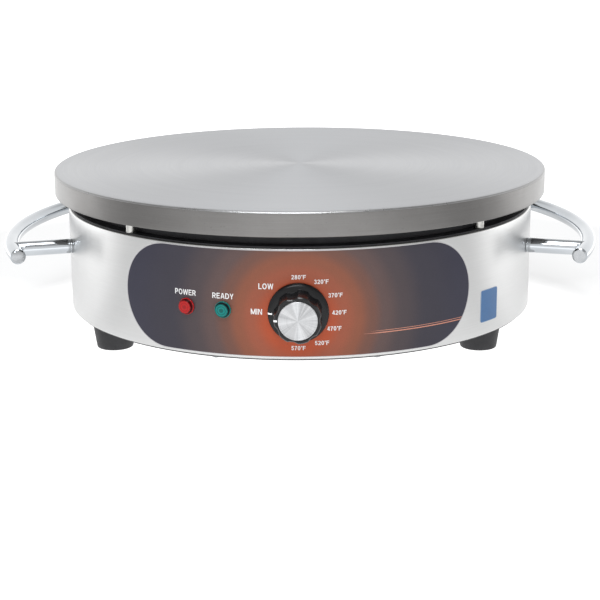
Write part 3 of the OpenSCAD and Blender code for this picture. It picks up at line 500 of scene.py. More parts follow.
def lens_painted_light_material(name, angle, dark, mid, light):
    """Moulded coloured plastic in its own red or green, with painted light and shade in rings: lighter rings for
    the ribs seen through the face and for the flange, and a painted shade ring in the rebate.
    """
    m = Mat(name)
    x, y, z = m.xyz()
    u = m.math("SUBTRACT", m.arc(), math.radians(angle) * DRUM_R * MM)
    v = m.math("SUBTRACT", z, LAMP_Z * MM)
    r = m.math("SQRT", m.math("ADD", m.math("MULTIPLY", u, u), m.math("MULTIPLY", v, v)))
    n = m.noise(260.0, 3.0, 0.6)
    t = m.math("ADD", m.math("MULTIPLY", r, 1.0 / 0.0066),
               m.remap(n, 0.3, 0.7, -0.02, 0.02))
    # painted light and shade by radius: lighter rings on the face and flange, a dark ring at the rebate
    col = m.ramp(t, [(0.0, mid), (0.18, mid), (0.34, light), (0.48, mid), (0.58, light), (0.70, mid),
                     (0.78, dark), (0.86, dark), (0.91, light), (1.0, light)])
    m.set(color=col, rough=m.remap(n, 0.3, 0.7, 0.07, 0.12), trans=0.05, ior=1.49, spec=0.16,
          normal=m.bump(m.noise(700.0, 2.0), 0.03, 0.00008))
    return m.m


def wool_material():
    m = Mat("insulation_wool")
    f = m.noise(1.0, 5.0, 0.7, m.scaled(500.0, 420.0, 1500.0), 1.5)
    m.set(color=m.ramp(f, [(0.3, (0.58, 0.53, 0.43, 1)), (0.7, (0.82, 0.79, 0.70, 1))]), rough=0.95,
          sheen=0.2, sheen_rough=0.5, normal=m.bump(f, 0.6, 0.0006))
    return m.m


LOOKS = {
    "drum_stainless": drum_material(),
    "stainless_small": small_steel("stainless_small", (0.50, 0.495, 0.475), 0.34),
    "zinc_steel": small_steel("zinc_steel", (0.40, 0.41, 0.42), 0.34, (0.42, 0.38, 0.28, 1)),
    "plain_steel": small_steel("plain_steel", (0.55, 0.55, 0.545), 0.36),
    "element_steel": small_steel("element_steel", (0.16, 0.145, 0.13), 0.5, (0.10, 0.07, 0.05, 1)),
    "thermostat_steel": small_steel("thermostat_steel", (0.60, 0.60, 0.585), 0.38),
    "tab_metal": small_steel("tab_metal", (0.70, 0.66, 0.54), 0.3),
    "brass": small_steel("brass", (0.72, 0.52, 0.24), 0.28),
    "copper": small_steel("copper", (0.78, 0.40, 0.26), 0.3, (0.35, 0.16, 0.10, 1)),
    "ceramic_white": plain("ceramic_white", (0.78, 0.75, 0.69), rough=0.32, var=0.05, bump=0.08, coat=0.2),
    "silicone_red": plain("silicone_red", (0.42, 0.085, 0.045), rough=0.5, var=0.1, bump=0.15),
    "nylon_white": plain("nylon_white", (0.72, 0.71, 0.66), rough=0.42, var=0.05, bump=0.08),
    "nylon_black": plain("nylon_black", (0.020, 0.020, 0.022), rough=0.42, var=0.2, bump=0.25, bump_scale=1300.0),
    "wire_red": plain("wire_red", (0.42, 0.028, 0.020), rough=0.42, var=0.12, scale=200.0, bump=0.1),
    "wire_white": plain("wire_white", (0.70, 0.69, 0.65), rough=0.42, var=0.08, scale=200.0, bump=0.1),
    "wire_green": plain("wire_green", (0.035, 0.28, 0.055), rough=0.42, var=0.12, scale=200.0, bump=0.1),
    "wire_dark": plain("wire_dark", (0.025, 0.025, 0.028), rough=0.42, var=0.2, scale=200.0, bump=0.1),
    "pan_black": pan_material(),
    "base_steel": sheet_with_painted_shade_material(),
    "rubber_black": rubber_material(),
    "chrome": chrome_material(),
    "overlay_print": panel_film_material(),
    "label_blue": label_material(),
    "knob_black": knob_plastic_material(),
    "knob_aluminium": spun_aluminium_painted_rays_material(),
    "mark_white": ink_material(),
    "word_ink": ink_material("word_ink", 0.66),
    "lens_red": lens_painted_light_material("lens_red", LAMPS[0], (0.060, 0.001, 0.002, 1), (0.250, 0.009, 0.010, 1), (0.410, 0.012, 0.012, 1)),
    "lens_green": lens_painted_light_material("lens_green", LAMPS[1], (0.001, 0.014, 0.016, 1), (0.001, 0.085, 0.078, 1), (0.002, 0.195, 0.178, 1)),
    "insulation_wool": wool_material(),
}
LOOKS["plate_iron"] = plate_side_material()
PLATE_EDGE = plate_edge_material()
KNOB_BEVEL = knob_bevel_material()
DRUM_RIM = rim_material()
CUT_END = cut_end_material()
PLATE_TOP = plate_top_material()
PINSTRIPE = pinstripe_material()

for name, o in NODES.items():
    for s in o.material_slots:
        key = s.material.name.split(".")[0] if s.material else ""
        if key not in LOOKS:
            raise RuntimeError("no look for material " + key + " on " + name)
        s.material = LOOKS[key]


# ---------------------------------------------------------------- mesh building
def build(name, verts, faces, mats, body="base", replaces=(), angle=35.0, face_mats=None):
    """One closed mesh, vertices given in millimetres in the object's frame."""
    me = bpy.data.meshes.new(name)
    me.from_pydata([Vector(v) * MM for v in verts], [], faces)
    for mt in mats:
        me.materials.append(mt)
    if face_mats:
        me.polygons.foreach_set("material_index", face_mats)
    me.validate()
    me.shade_smooth()
    me.set_sharp_from_angle(angle=math.radians(angle))
    me.update()
    o = bpy.data.objects.new(name, me)
    bpy.context.scene.collection.objects.link(o)
    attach(o, body)
    if replaces:
        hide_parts(*replaces)
    return o


class Shell:
    """Collects vertices and faces of several closed shells."""

    def __init__(self):
        self.v, self.f, self.m = [], [], []

    def add(self, verts, faces, mat=0):
        k = len(self.v)
        self.v += [tuple(p) for p in verts]
        self.f += [tuple(i + k for i in f) for f in faces]
        self.m += mat if isinstance(mat, list) else [mat] * len(faces)
        return self


def rings_mesh(rings):
    """Closed surface through rings of equal length; a ring of one point is a pole.
    Faces point outwards when the rings run from the back to the front and each ring
    runs anticlockwise seen from the front."""
    verts, index = [], []
    for r in rings:
        index.append(list(range(len(verts), len(verts) + len(r))))
        verts += r
    faces = []
    for a, b in zip(index, index[1:]):
        if len(a) == 1 and len(b) == 1:
            continue
        n = max(len(a), len(b))
        for i in range(n):
            j = (i + 1) % n
            if len(a) == 1:
                faces.append((a[0], b[j], b[i])[::-1])
            elif len(b) == 1:
                faces.append((a[i], a[j], b[0]))
            else:
                faces.append((a[i], a[j], b[j], b[i]))
    return verts, faces


def lathe(profile, n, place):
    """profile: (radius, height) from the back pole to the front pole; place maps local to world."""
    rings = []
    for r, w in profile:
        if r <= 1e-9:
            rings.append([tuple(place(0.0, 0.0, w))])
        else:
            rings.append([tuple(place(r * math.cos(2 * math.pi * i / n),
                                      r * math.sin(2 * math.pi * i / n), w)) for i in range(n)])
    return rings_mesh(rings)


def fillet(c, r, a0, a1, n):
    """Points of an arc round c, angles in degrees in the (radius, height) plane."""
    return [(c[0] + r * math.cos(math.radians(a0 + (a1 - a0) * i / n)),
             c[1] + r * math.sin(math.radians(a0 + (a1 - a0) * i / n))) for i in range(n + 1)]


def upright(x0=0.0, y0=0.0):
    return lambda u, v, w: Vector((x0 + u, y0 + v, w))


def on_knob(u, v, w):
    """Knob axis, w outwards from the rear face, u to the right, v up."""
    return Vector((KNOB_X + u, -(KNOB_Y + w), KNOB_Z + v))


def outward(angle, z, r0):
    """Axis pointing out of the drum at an angle from +X; u along the drum, v up."""
    a = math.radians(angle)
    c, s = math.cos(a), math.sin(a)
    return lambda u, v, w: Vector(((r0 + w) * c - u * s, (r0 + w) * s + u * c, z + v))


# ---------------------------------------------------------------- cooking plate
def make_plate():
    zr = Z_PLATE + 5.0
    top = Z_TOP
    prof = [(0.0, zr)]
    prof += [(60.0, zr), (120.0, zr), (177.4, zr)]
    prof += fillet((177.4, zr - 0.6), 0.6, 90, 0, 4)
    prof += [(178.0, Z_PLATE + 0.5)]
    prof += fillet((178.5, Z_PLATE + 0.5), 0.5, 180, 270, 4)
    prof += [(190.0, Z_PLATE)]
    prof += fillet((PLATE_R - 0.9, Z_PLATE + 0.9), 0.9, -90, 0, 6)
    prof += [(PLATE_R, Z_PLATE + 4.0), (PLATE_R, Z_PLATE + 9.0), (PLATE_R, Z_PLATE + 14.0)]
    # rounded edge, then a shallow eased band, then the flat
    rr = 1.75
    c = (PLATE_R - rr, top - 0.22 - rr)
    edge = fillet(c, rr, 0, 79, 14)
    prof += edge
    r1, z1 = edge[-1]
    band = []
    slope = math.tan(math.radians(11))
    width = 3.6
    drop = top - z1
    for i in range(1, 9):
        t = i / 8
        # slope falls from 11 degrees to nothing
        band.append((r1 - width * t, z1 + drop * (1 - (1 - t) ** 2)))
    prof += band
    turn = len(prof)
    for r in (190.0, 175.0, 150.0, 120.0, 90.0, 60.0, 30.0, 12.0):
        prof.append((r, top))
    prof.append((0.0, top))
    n = 384
    # local ring order: rings run from the underside to the top on the outside
    verts, faces = lathe(prof, n, upright())
    mats = []
    # the turned corner starts part of the way up its rounding and ends at the ground top
    start = len(prof) - 9 - 8
    corner = start - 15 + 3
    for k in range(len(prof) - 1):
        mats += [2 if k >= start - 1 else 1 if k >= corner else 0] * n
    return build("cooking_plate_body", verts, faces, [LOOKS["plate_iron"], PLATE_EDGE, PLATE_TOP],
                 replaces=("cooking_plate",), angle=30.0, face_mats=mats)


# ---------------------------------------------------------------- drum
def make_drum():
    """The drum's wall with its turned-in lips, as one turned section."""
    prof = [(176.0, Z_DRUM), (182.0, Z_DRUM)]
    prof += fillet((DRUM_R - 1.2, Z_DRUM + 1.2), 1.2, -90, 0, 8)
    prof += [(DRUM_R, 27.0), (DRUM_R, 36.0), (DRUM_R, 50.0), (DRUM_R, 64.0), (DRUM_R, 78.0),
             (DRUM_R, 90.0), (DRUM_R, 100.0)]
    rim = len(prof)
    prof += fillet((DRUM_R - 1.2, Z_RIM - 1.2), 1.2, 0, 90, 12)
    rim_end = len(prof) - 1
    prof += [(184.0, Z_RIM), (178.0, Z_RIM), (178.0, Z_RIM - 1.2), (184.0, Z_RIM - 1.2)]
    prof += [(DRUM_R - 1.5, Z_RIM - 1.2), (DRUM_R - 1.25, Z_RIM - 1.3), (DRUM_R - 1.2, Z_RIM - 1.5)]
    prof += [(DRUM_R - 1.2, 80.0), (DRUM_R - 1.2, 50.0)]
    prof += [(DRUM_R - 1.2, 23.7), (DRUM_R - 1.35, 23.35), (DRUM_R - 1.7, 23.2), (176.0, 23.2)]
    n = 512
    verts = [(r * math.cos(2 * math.pi * i / n), r * math.sin(2 * math.pi * i / n), z)
             for r, z in prof for i in range(n)]
    k = len(prof)
    faces = []
    for a in range(k):
        b = (a + 1) % k
        for i in range(n):
            j = (i + 1) % n
            faces.append((a * n + i, a * n + j, b * n + j, b * n + i))
    mats = []
    for a in range(k):
        mats += [1 if rim <= a < rim_end else 0] * n
    return build("drum_wall", verts, faces, [LOOKS["drum_stainless"], DRUM_RIM],
                 replaces=("housing_shell",), angle=30.0, face_mats=mats)


# ---------------------------------------------------------------- knob
def grip_radius(t, w):
    """Outline of the grip, seven lobes and seven round flutes, at angle t (degrees) and height w."""
    r = 17.45 + 0.5 * (22.6 - w) / 19.6
    step = 360 / 7
    d = math.radians((t - 180) % step - step / 2)
    q = 9.3 ** 2 - (25.5 * math.sin(d)) ** 2
    if q <= 0:
        return r
    cut = 25.5 * math.cos(d) - math.sqrt(q)
    # the edge between lobe and flute is eased
    k = 0.35
    e = max(k - abs(r - cut), 0.0) / k
    return min(r, cut) - e * e * k / 4


def dome(r):
    """Height of the skirt's domed face at radius r."""
    t = max(0.0, min(1.0, (r - 15.4) / 6.9))
    return 1.35 + 2.95 * math.sqrt(max(0.0, 1 - t * t))


def make_knob():
    n = 320
    deg = [360 * i / n for i in range(n)]

    def circle(r, w):
        return [tuple(on_knob(r * math.cos(math.radians(t)), r * math.sin(math.radians(t)), w)) for t in deg]

    def shaped(f):
        out = []
        for t in deg:
            r, w = f(t)
            out.append(tuple(on_knob(r * math.cos(math.radians(t)), r * math.sin(math.radians(t)), w)))
        return out

    rings = [[tuple(on_knob(0, 0, 17.5))]]
    for r, w in [(3.1, 17.5), (3.1, 0.6), (3.4, 0.3), (5.7, 0.3), (6.0, 0.6), (6.0, 17.0),
                 (13.8, 17.0), (13.8, 4.4), (14.0, 4.2), (15.4, 4.2), (15.4, 0.3), (15.7, 0.0),
                 (21.9, 0.0), (22.2, 0.06), (22.4, 0.22), (22.5, 0.5), (22.5, 0.9), (22.46, 1.15)]:
        rings.append(circle(r, w))
    # domed skirt, from the rim to the foot of the grip
    m = 14
    for i in range(1, m + 1):
        t = i / m
        def f(a, t=t):
            foot = grip_radius(a, 5.0) + 0.75
            r = 22.42 + (foot - 22.42) * (1 - math.cos(t * math.pi / 2)) ** 0.9
            return r, dome(r) + 0.02
        rings.append(shaped(f))
    # small fillet into the grip's wall
    for b in (22, 45, 67, 90):
        def f(a, b=b):
            foot = grip_radius(a, 5.0)
            r = foot + 0.75 * (1 - math.sin(math.radians(b)))
            return r, dome(foot + 0.75) + 0.02 + 0.75 * (1 - math.cos(math.radians(b)))
        rings.append(shaped(f))
    for w in (7.0, 10.0, 14.0, 18.0, 21.0, 22.35):
        rings.append(shaped(lambda a, w=w: (grip_radius(a, w), w)))
    # bevelled edge of the face
    bevel = len(rings) - 1
    for dr, w in [(0.06, 22.52), (0.18, 22.68), (0.68, 23.18), (0.84, 23.34), (1.00, KNOB_LEN)]:
        rings.append(shaped(lambda a, dr=dr, w=w: (grip_radius(a, 22.5) - dr, w)))
    bevel_end = len(rings) - 1
    for r, w in [(14.75, KNOB_LEN), (14.5, 23.34), (14.38, 23.2), (14.38, 20.4)]:
        rings.append(circle(r, w))
    rings.append([tuple(on_knob(0, 0, 20.4))])
    v, f = rings_mesh(rings)
    mats = []
    for k in range(len(rings) - 1):
        mats += [1 if bevel <= k < bevel_end else 0] * n
    return build("control_knob_body", v, f, [LOOKS["knob_black"], KNOB_BEVEL], body="knob",
                 replaces=("control_knob",), angle=40.0, face_mats=mats)


def make_cap():
    w0, w1 = KNOB_LEN - 3.0, CAP_LEN
    prof = [(0.0, w0), (14.0, w0), (CAP_R, w0 + 0.3), (CAP_R, w1 - 0.55)]
    prof += fillet((CAP_R - 0.5, w1 - 0.5), 0.5, 10, 90, 6)
    prof += [(13.4, w1 - 0.02), (13.25, w1 - 0.14), (13.0, w1 - 0.20), (12.75, w1 - 0.20)]
    for r in (11.5, 9.5, 7.5, 5.5, 3.5, 2.0, 1.1, 0.6):
        prof.append((r, w1 - 0.20 - 0.10 * (1 - (r / 12.75) ** 2)))
    prof += [(0.3, w1 - 0.34), (0.0, w1 - 0.36)]
    v, f = lathe(prof, 240, on_knob)
    return build("knob_cap_disc", v, f, [LOOKS["knob_aluminium"]], body="knob",
                 replaces=("knob_cap",), angle=25.0)


def strip(path, half, place, lift=0.035, deep=0.25):
    """Closed ribbon of paint. path gives (u, w, nu, nw): where it runs and which way it faces."""
    verts, faces = [], []
    k = len(path)
    for u, w, nu, nw in path:
        for v in (-half, -half * 0.5, 0.0, half * 0.5, half):
            verts.append(tuple(place(u + nu * lift, v, w + nw * lift)))
    for u, w, nu, nw in path:
        for v in (-half, -half * 0.5, 0.0, half * 0.5, half):
            verts.append(tuple(place(u - nu * deep, v, w - nw * deep)))
    off = 5 * k
    for i in range(k - 1):
        for j in range(4):
            a = 5 * i + j
            faces.append((a, a + 1, a + 6, a + 5))
            faces.append((off + a, off + a + 5, off + a + 6, off + a + 1))
        a = 5 * i
        faces.append((a, a + 5, off + a + 5, off + a))
        faces.append((a + 4, off + a + 4, off + a + 9, a + 9))
    faces.append((0, off, off + 1, 1))
    faces.append((1, off + 1, off + 2, 2))
    faces.append((2, off + 2, off + 3, 3))
    faces.append((3, off + 3, off + 4, 4))
    e = 5 * (k - 1)
    for j in range(4):
        faces.append((e + j, e + j + 1, off + e + j + 1, off + e + j))
    return verts, faces


def make_marks():
    s = Shell()
    path = []
    for i in range(15):
        r = 19.1 + (22.38 - 19.1) * i / 14
        g = (dome(r + 0.02) - dome(r - 0.02)) / 0.04
        q = math.hypot(g, 1.0)
        path.append((-r, dome(r) + 0.02, g / q, 1 / q))
    s.add(*strip(path, 0.62, on_knob))
    g0 = grip_radius(180.0, 22.5)
    path = [(-14.9, KNOB_LEN, 0, 1), (-15.4, KNOB_LEN, 0, 1), (-15.9, KNOB_LEN, 0, 1),
            (-(g0 - 1.00), KNOB_LEN, -0.2, 0.98), (-(g0 - 0.76), 23.26, -0.6, 0.8),
            (-(g0 - 0.43), 22.93, -0.7, 0.7), (-(g0 - 0.12), 22.62, -0.85, 0.5), (-g0 - 0.0, 22.30, -1, 0)]
    s.add(*strip(path, 0.66, on_knob))
    return build("knob_index_paint", s.v, s.f, [LOOKS["mark_white"]], body="knob",
                 replaces=("knob_index_marks",), angle=50.0)


# ---------------------------------------------------------------- handles
def make_bar(side, name, node):
    n = 64
    steps = []
    first = math.radians(BAR_FRONT) if side > 0 else math.radians(180 - BAR_REAR)
    length = BAR_RING * math.radians(BAR_REAR - BAR_FRONT)
    ends = [(0.0, BAR_R - 1.30), (0.10, BAR_R - 1.12), (0.95, BAR_R - 0.22), (1.12, BAR_R - 0.09), (1.30, BAR_R)]
    for d, r in ends:
        steps.append((d, r))
    for i in range(1, 140):
        steps.append((1.30 + (length - 2.6) * i / 140, BAR_R))
    for d, r in reversed(ends):
        steps.append((length - d, r))

    def point(d, r, t):
        a = first + d / BAR_RING
        rho = BAR_RING + r * math.cos(t)
        return (rho * math.cos(a), rho * math.sin(a), HANDLE_Z + r * math.sin(t))

    rings = [[point(0.0, 0.0, 0.0)]]
    for d, r in steps:
        rings.append([point(d, r, -2 * math.pi * i / n) for i in range(n)])
    rings.append([point(length, 0.0, 0.0)])
    v, f = rings_mesh(rings)
    mats = [1] * (2 * n) + [0] * (len(f) - 4 * n) + [1] * (2 * n)
    return build(name, v, f, [LOOKS["chrome"], CUT_END], replaces=(node,), angle=30.0,
                 face_mats=mats)


def make_posts():
    """Round posts, saddle-cut to the bar and slightly relieved where they meet the drum."""
    s = Shell()
    n = 96
    for a in (POST_FRONT, POST_REAR, 180 - POST_FRONT, 180 - POST_REAR):
        place = outward(a, HANDLE_Z, 0.0)

        def ring(r, w):
            return [tuple(place(r * math.cos(2 * math.pi * i / n), r * math.sin(2 * math.pi * i / n),
                                DRUM_R + w)) for i in range(n)]

        # bottom of the post, a shallow groove and the start of the shaft
        rings = [[tuple(place(0, 0, DRUM_R + 0.1))]]
        for r, w in [(POST_R - 0.35, 0.1), (POST_R - 0.1, 0.16), (POST_R, 0.36), (POST_R, 0.95),
                     (POST_R - 0.08, 1.12), (POST_R - 0.42, 1.24), (POST_R - 0.42, 1.50),
                     (POST_R - 0.08, 1.62), (POST_R, 1.80)]:
            rings.append(ring(r, w))
        for w in (4.0, 9.0, 15.0, 21.0, 27.0, 33.0, 38.0):
            rings.append(ring(POST_R, w))
        # the end follows the surface of the bar; its rim is eased by 0.25 mm
        for ease, back in ((0.0, 0.30), (0.10, 0.10), (0.26, -0.02), (0.60, -0.12)):
            loop = []
            for i in range(n):
                c, q = math.cos(2 * math.pi * i / n), math.sin(2 * math.pi * i / n)
                u, v = (POST_R - ease) * c, (POST_R - ease) * q
                bend = BAR_RING - math.sqrt(BAR_RING ** 2 - u * u)
                w = BAR_RING - bend - math.sqrt(BAR_R ** 2 - v * v)
                loop.append(tuple(place(u, v, min(w - back, BAR_RING - 0.3))))
            rings.append(loop)
        rings.append([tuple(place(0, 0, BAR_RING - BAR_R + 0.12))])
        s.add(*rings_mesh(rings))
    return build("handle_post_rods", s.v, s.f, [LOOKS["chrome"]],
                 replaces=("handle_posts",), angle=38.0)


# ---------------------------------------------------------------- feet
def make_feet():
    s = Shell()
    for r, a in FEET:
        x, y = r * math.cos(math.radians(a)), r * math.sin(math.radians(a))
        prof = [(0.0, 10.0), (2.5, 10.0), (6.3, 10.0), (6.6, 9.7), (6.6, 0.6)]
        prof += fillet((7.2, 0.6), 0.6, 180, 270, 4)
        prof += [(9.4, 0.0), (9.8, 0.45), (10.6, 0.45), (11.0, 0.0), (13.2, 0.0)]
        prof += fillet((13.2, 1.4), 1.4, -90, -12, 7)
        prof += [(15.2, 5.0), (15.75, 9.0), (16.35, 13.0), (16.85, 16.4), (17.0, 17.1), (17.05, 17.5),
                 (17.45, 17.9), (17.85, 18.2), (18.0, 18.6), (18.05, 20.2), (17.8, 20.6), (17.5, 20.78)]
        prof += [(2.6, 20.78), (0.0, 20.78)]
        s.add(*lathe(prof, 96, upright(x, y)))
    return build("rubber_feet", s.v, s.f, [LOOKS["rubber_black"]],
                 replaces=("feet",), angle=35.0)


# ---------------------------------------------------------------- lamp lenses
def make_lens(name, angle, node, look):
    place = outward(-90 + angle, LAMP_Z, DRUM_R + 0.5)
    prof = [(0.0, 2.9), (2.7, 2.9), (3.1, 2.6), (3.1, -0.6), (4.1, -0.6), (4.1, 0.0), (6.0, 0.0)]
    prof += [(6.2, 0.12), (6.3, 0.4), (6.3, 0.9), (6.22, 1.2), (6.0, 1.42), (5.7, 1.5)]
    prof += [(5.60, 1.55), (5.46, 1.70), (5.38, 1.9), (5.20, 3.2), (5.14, 3.45)]
    prof += fillet((4.54, 3.47), 0.6, 8, 76, 6)
    for r in (3.6, 2.6, 1.6, 0.8):
        prof.append((r, 4.2 - 0.12 * (r / 4.6) ** 2))
    prof.append((0.0, 4.2))
    v, f = lathe(prof, 96, place)
    return build(name, v, f, [LOOKS[look]], replaces=(node,), angle=30.0)


# ---------------------------------------------------------------- panel print
PEN = 0.165                # stroke width of the lettering, in cap heights


def turn(cx, cy, rx, ry, a0, a1, n=14):
    """Points of an elliptic arc, angles in degrees."""
    return [(cx + rx * math.cos(math.radians(a0 + (a1 - a0) * i / n)),
             cy + ry * math.sin(math.radians(a0 + (a1 - a0) * i / n))) for i in range(n + 1)]


def bar_shape(x0, y0, x1, y1):
    """Upright block of a letter."""
    return "block", [(x0, y0), (x1, y0), (x1, y1), (x0, y1)]


def slant(x0, y0, x1, y1, w=PEN):
    """Sloping stroke with level ends."""
    t = w * math.hypot(x1 - x0, y1 - y0) / abs(y1 - y0) / 2
    if y1 < y0:
        x0, y0, x1, y1 = x1, y1, x0, y0
    return "block", [(x0 - t, y0), (x0 + t, y0), (x1 + t, y1), (x1 - t, y1)]


def line(points, w=PEN):
    path = points[:1]
    for p in points[1:]:
        if math.hypot(p[0] - path[-1][0], p[1] - path[-1][1]) > 1e-4:
            path.append(p)
    return "line", path, w


def loop(points, w=PEN):
    return "loop", points[:-1], w


def glyph(ch):
    """Width and strokes of a plain bold letter, one unit high."""
    h = PEN / 2
    d = PEN * 0.92
    if ch == "P" or ch == "R":
        r = (1 - h - 0.455) / 2
        x = 0.64 - h - r
        g = [bar_shape(0, 0, PEN, 1),
             line([(h, 1 - h), (x, 1 - h)] + turn(x, 0.455 + r, r, r, 90, -90) + [(h, 0.455)])]
        if ch == "R":
            g.append(slant(0.37, 0.455, 0.585, 0.0, d))
            return 0.68, g
        return 0.64, g
    if ch == "O":
        return 0.76, [loop(turn(0.38, 0.5, 0.38 - h, 0.512 - h, 0, 360, 40))]
    if ch == "W":
        return 1.02, [slant(0.09, 1, 0.275, 0, d), slant(0.275, 0, 0.51, 1, d),
                      slant(0.51, 1, 0.745, 0, d), slant(0.745, 0, 0.93, 1, d)]
    if ch == "E" or ch == "F":
        g = [bar_shape(0, 0, PEN, 1), bar_shape(0, 1 - PEN, 0.60, 1),
             bar_shape(0, 0.44, 0.55, 0.44 + PEN * 0.95)]
        if ch == "E":
            g.append(bar_shape(0, 0, 0.615, PEN))
            return 0.63, g
        return 0.60, g
    if ch == "A":
        return 0.76, [slant(0.085, 0, 0.345, 1, d), slant(0.675, 0, 0.415, 1, d),
                      bar_shape(0.19, 0.22, 0.57, 0.22 + PEN * 0.9)]
    if ch == "D":
        return 0.70, [bar_shape(0, 0, PEN, 1),
                      line([(h, 1 - h), (0.30, 1 - h)] + turn(0.30, 0.5, 0.40 - h, 0.5 - h, 90, -90, 20)
                           + [(h, h)])]
    if ch == "Y":
        return 0.70, [slant(0.09, 1, 0.35, 0.40, d), slant(0.61, 1, 0.35, 0.40, d),
                      bar_shape(0.35 - h, 0, 0.35 + h, 0.46)]
    if ch == "L":
        return 0.56, [bar_shape(0, 0, PEN, 1), bar_shape(0, 0, 0.55, PEN)]
    if ch == "M":
        return 0.86, [bar_shape(0, 0, PEN * 0.95, 1), bar_shape(0.86 - PEN * 0.95, 0, 0.86, 1),
                      slant(0.105, 1, 0.43, 0.02, d), slant(0.755, 1, 0.43, 0.02, d)]
    if ch == "I":
        return PEN, [bar_shape(0, 0, PEN, 1)]
    if ch == "N":
        return 0.70, [bar_shape(0, 0, PEN * 0.95, 1), bar_shape(0.70 - PEN * 0.95, 0, 0.70, 1),
                      slant(0.11, 1, 0.59, 0, d)]
    if ch == "0":
        return 0.56, [loop(turn(0.28, 0.5, 0.28 - h, 0.508 - h, 0, 360, 36))]
    if ch == "2":
        return 0.56, [line(turn(0.28, 0.715, 0.28 - h, 0.285 - h, 168, -38, 16)
                           + [(0.30, 0.33), (0.13, 0.175), (0.10, h)]),
                      bar_shape(0.0, 0, 0.55, PEN * 0.95)]
    if ch == "3":
        return 0.56, [line(turn(0.27, 0.735, 0.255 - h, 0.265 - h, 165, -90, 14)),
                      line(turn(0.27, 0.285, 0.28 - h, 0.295 - h, 90, -168, 16))]
    if ch == "4":
        return 0.58, [bar_shape(0.335, 0, 0.335 + PEN * 0.95, 1), slant(0.085, 0.25, 0.37, 1, d),
                      bar_shape(0.0, 0.215, 0.57, 0.215 + PEN * 0.9)]
    if ch == "5":
        return 0.56, [bar_shape(0.10, 1 - PEN * 0.95, 0.52, 1), slant(0.105, 0.45, 0.165, 0.95, d),
                      line([(0.10, 0.50), (0.17, 0.575)] + turn(0.275, 0.325, 0.275 - h, 0.335 - h, 112, -165, 20))]
    if ch == "7":
        return 0.55, [bar_shape(0.0, 1 - PEN * 0.95, 0.55, 1),
                      line([(0.47, 0.93), (0.36, 0.72), (0.255, 0.42), (0.20, 0.0)])]
    if ch == "8":
        return 0.56, [loop(turn(0.28, 0.745, 0.245 - h, 0.262 - h, 0, 360, 30)),
                      loop(turn(0.28, 0.275, 0.28 - h, 0.285 - h, 0, 360, 32))]
    if ch == "°":
        return 0.27, [loop(turn(0.135, 0.865, 0.085, 0.085, 0, 360, 20), PEN * 0.62)]
    raise ValueError(ch)


def ribbon(points, w, closed):
    """Pairs of points on both sides of a path, mitred at its corners."""
    out = []
    n = len(points)
    for i, p in enumerate(points):
        a = points[i - 1] if (i > 0 or closed) else None
        b = points[(i + 1) % n] if (i < n - 1 or closed) else None
        ns = []
        for q0, q1 in ((a, p), (p, b)):
            if q0 is not None and q1 is not None:
                dx, dy = q1[0] - q0[0], q1[1] - q0[1]
                q = math.hypot(dx, dy)
                ns.append((-dy / q, dx / q))
        nx, ny = sum(v[0] for v in ns) / len(ns), sum(v[1] for v in ns) / len(ns)
        q = math.hypot(nx, ny)
        nx, ny = nx / q, ny / q
        k = w / 2 / max(0.6, nx * ns[0][0] + ny * ns[0][1])
        out.append(((p[0] + nx * k, p[1] + ny * k), (p[0] - nx * k, p[1] - ny * k)))
    return out


def text_shapes(body, gap=0.115):
    """Closed prisms of a word: lists of (points, faces), points as (x, y, layer)."""
    x = 0.0
    out = []
    for ch in body:
        width, strokes = glyph(ch)
        for st in strokes:
            if st[0] == "block":
                p = st[1]
                area = sum(p[i][0] * p[(i + 1) % 4][1] - p[(i + 1) % 4][0] * p[i][1] for i in range(4))
                if area < 0:
                    p = p[::-1]
                pts = [(q[0] + x, q[1], 1) for q in p] + [(q[0] + x, q[1], 0) for q in p]
                faces = [(0, 1, 2, 3), (7, 6, 5, 4)] + [(i, 4 + i, 4 + (i + 1) % 4, (i + 1) % 4) for i in range(4)]
            else:
                closed = st[0] == "loop"
                pairs = ribbon(st[1], st[2], closed)
                pts = []
                for a, b in pairs:
                    pts += [(a[0] + x, a[1], 1), (b[0] + x, b[1], 1), (b[0] + x, b[1], 0), (a[0] + x, a[1], 0)]
                k = len(pairs)
                faces = []
                for i in range(k if closed else k - 1):
                    j = (i + 1) % k
                    for e in range(4):
                        f = (e + 1) % 4
                        faces.append((4 * i + e, 4 * i + f, 4 * j + f, 4 * j + e))
                if not closed:
                    faces.append((3, 2, 1, 0))
                    faces.append((4 * k - 4, 4 * k - 3, 4 * k - 2, 4 * k - 1))
            out.append((pts, faces))
        x += width + gap
    return x - gap, out


def on_skin(arc, z, out):
    a = arc / DRUM_R
    return ((SKIN_R + out) * math.sin(a), -(SKIN_R + out) * math.cos(a), z)


PRINT = [
    ("POWER", -84.5, 69.0, 4.2, 1.0), ("READY", -54.1, 68.7, 4.2, 1.0),
    ("LOW", -21.6, 77.5, 4.3, 1.0), ("MIN", -28.8, 58.2, 4.3, 1.0),
    ("280°F", 2.3, 84.6, 3.2, 1.1), ("320°F", 18.8, 81.0, 3.2, 1.1),
    ("370°F", 29.1, 70.6, 3.2, 1.1), ("420°F", 32.0, 57.4, 3.2, 1.1),
    ("470°F", 28.3, 45.4, 3.2, 1.1), ("520°F", 19.2, 34.7, 3.2, 1.1),
    ("570°F", 1.9, 31.0, 3.2, 1.1),
]


def make_print(name, rows, look):
    s = Shell()
    for body, arc, z, cap, wide in rows:
        width, shapes = text_shapes(body)
        for i, (pts, faces) in enumerate(shapes):
            top = 0.036 + 0.0015 * (i % 6)
            s.add([on_skin(arc + (x - width / 2) * cap * wide, z + (y - 0.5) * cap,
                           top if h else 0.010) for x, y, h in pts], faces)
    return build(name, s.v, s.f, [look], angle=30.0)


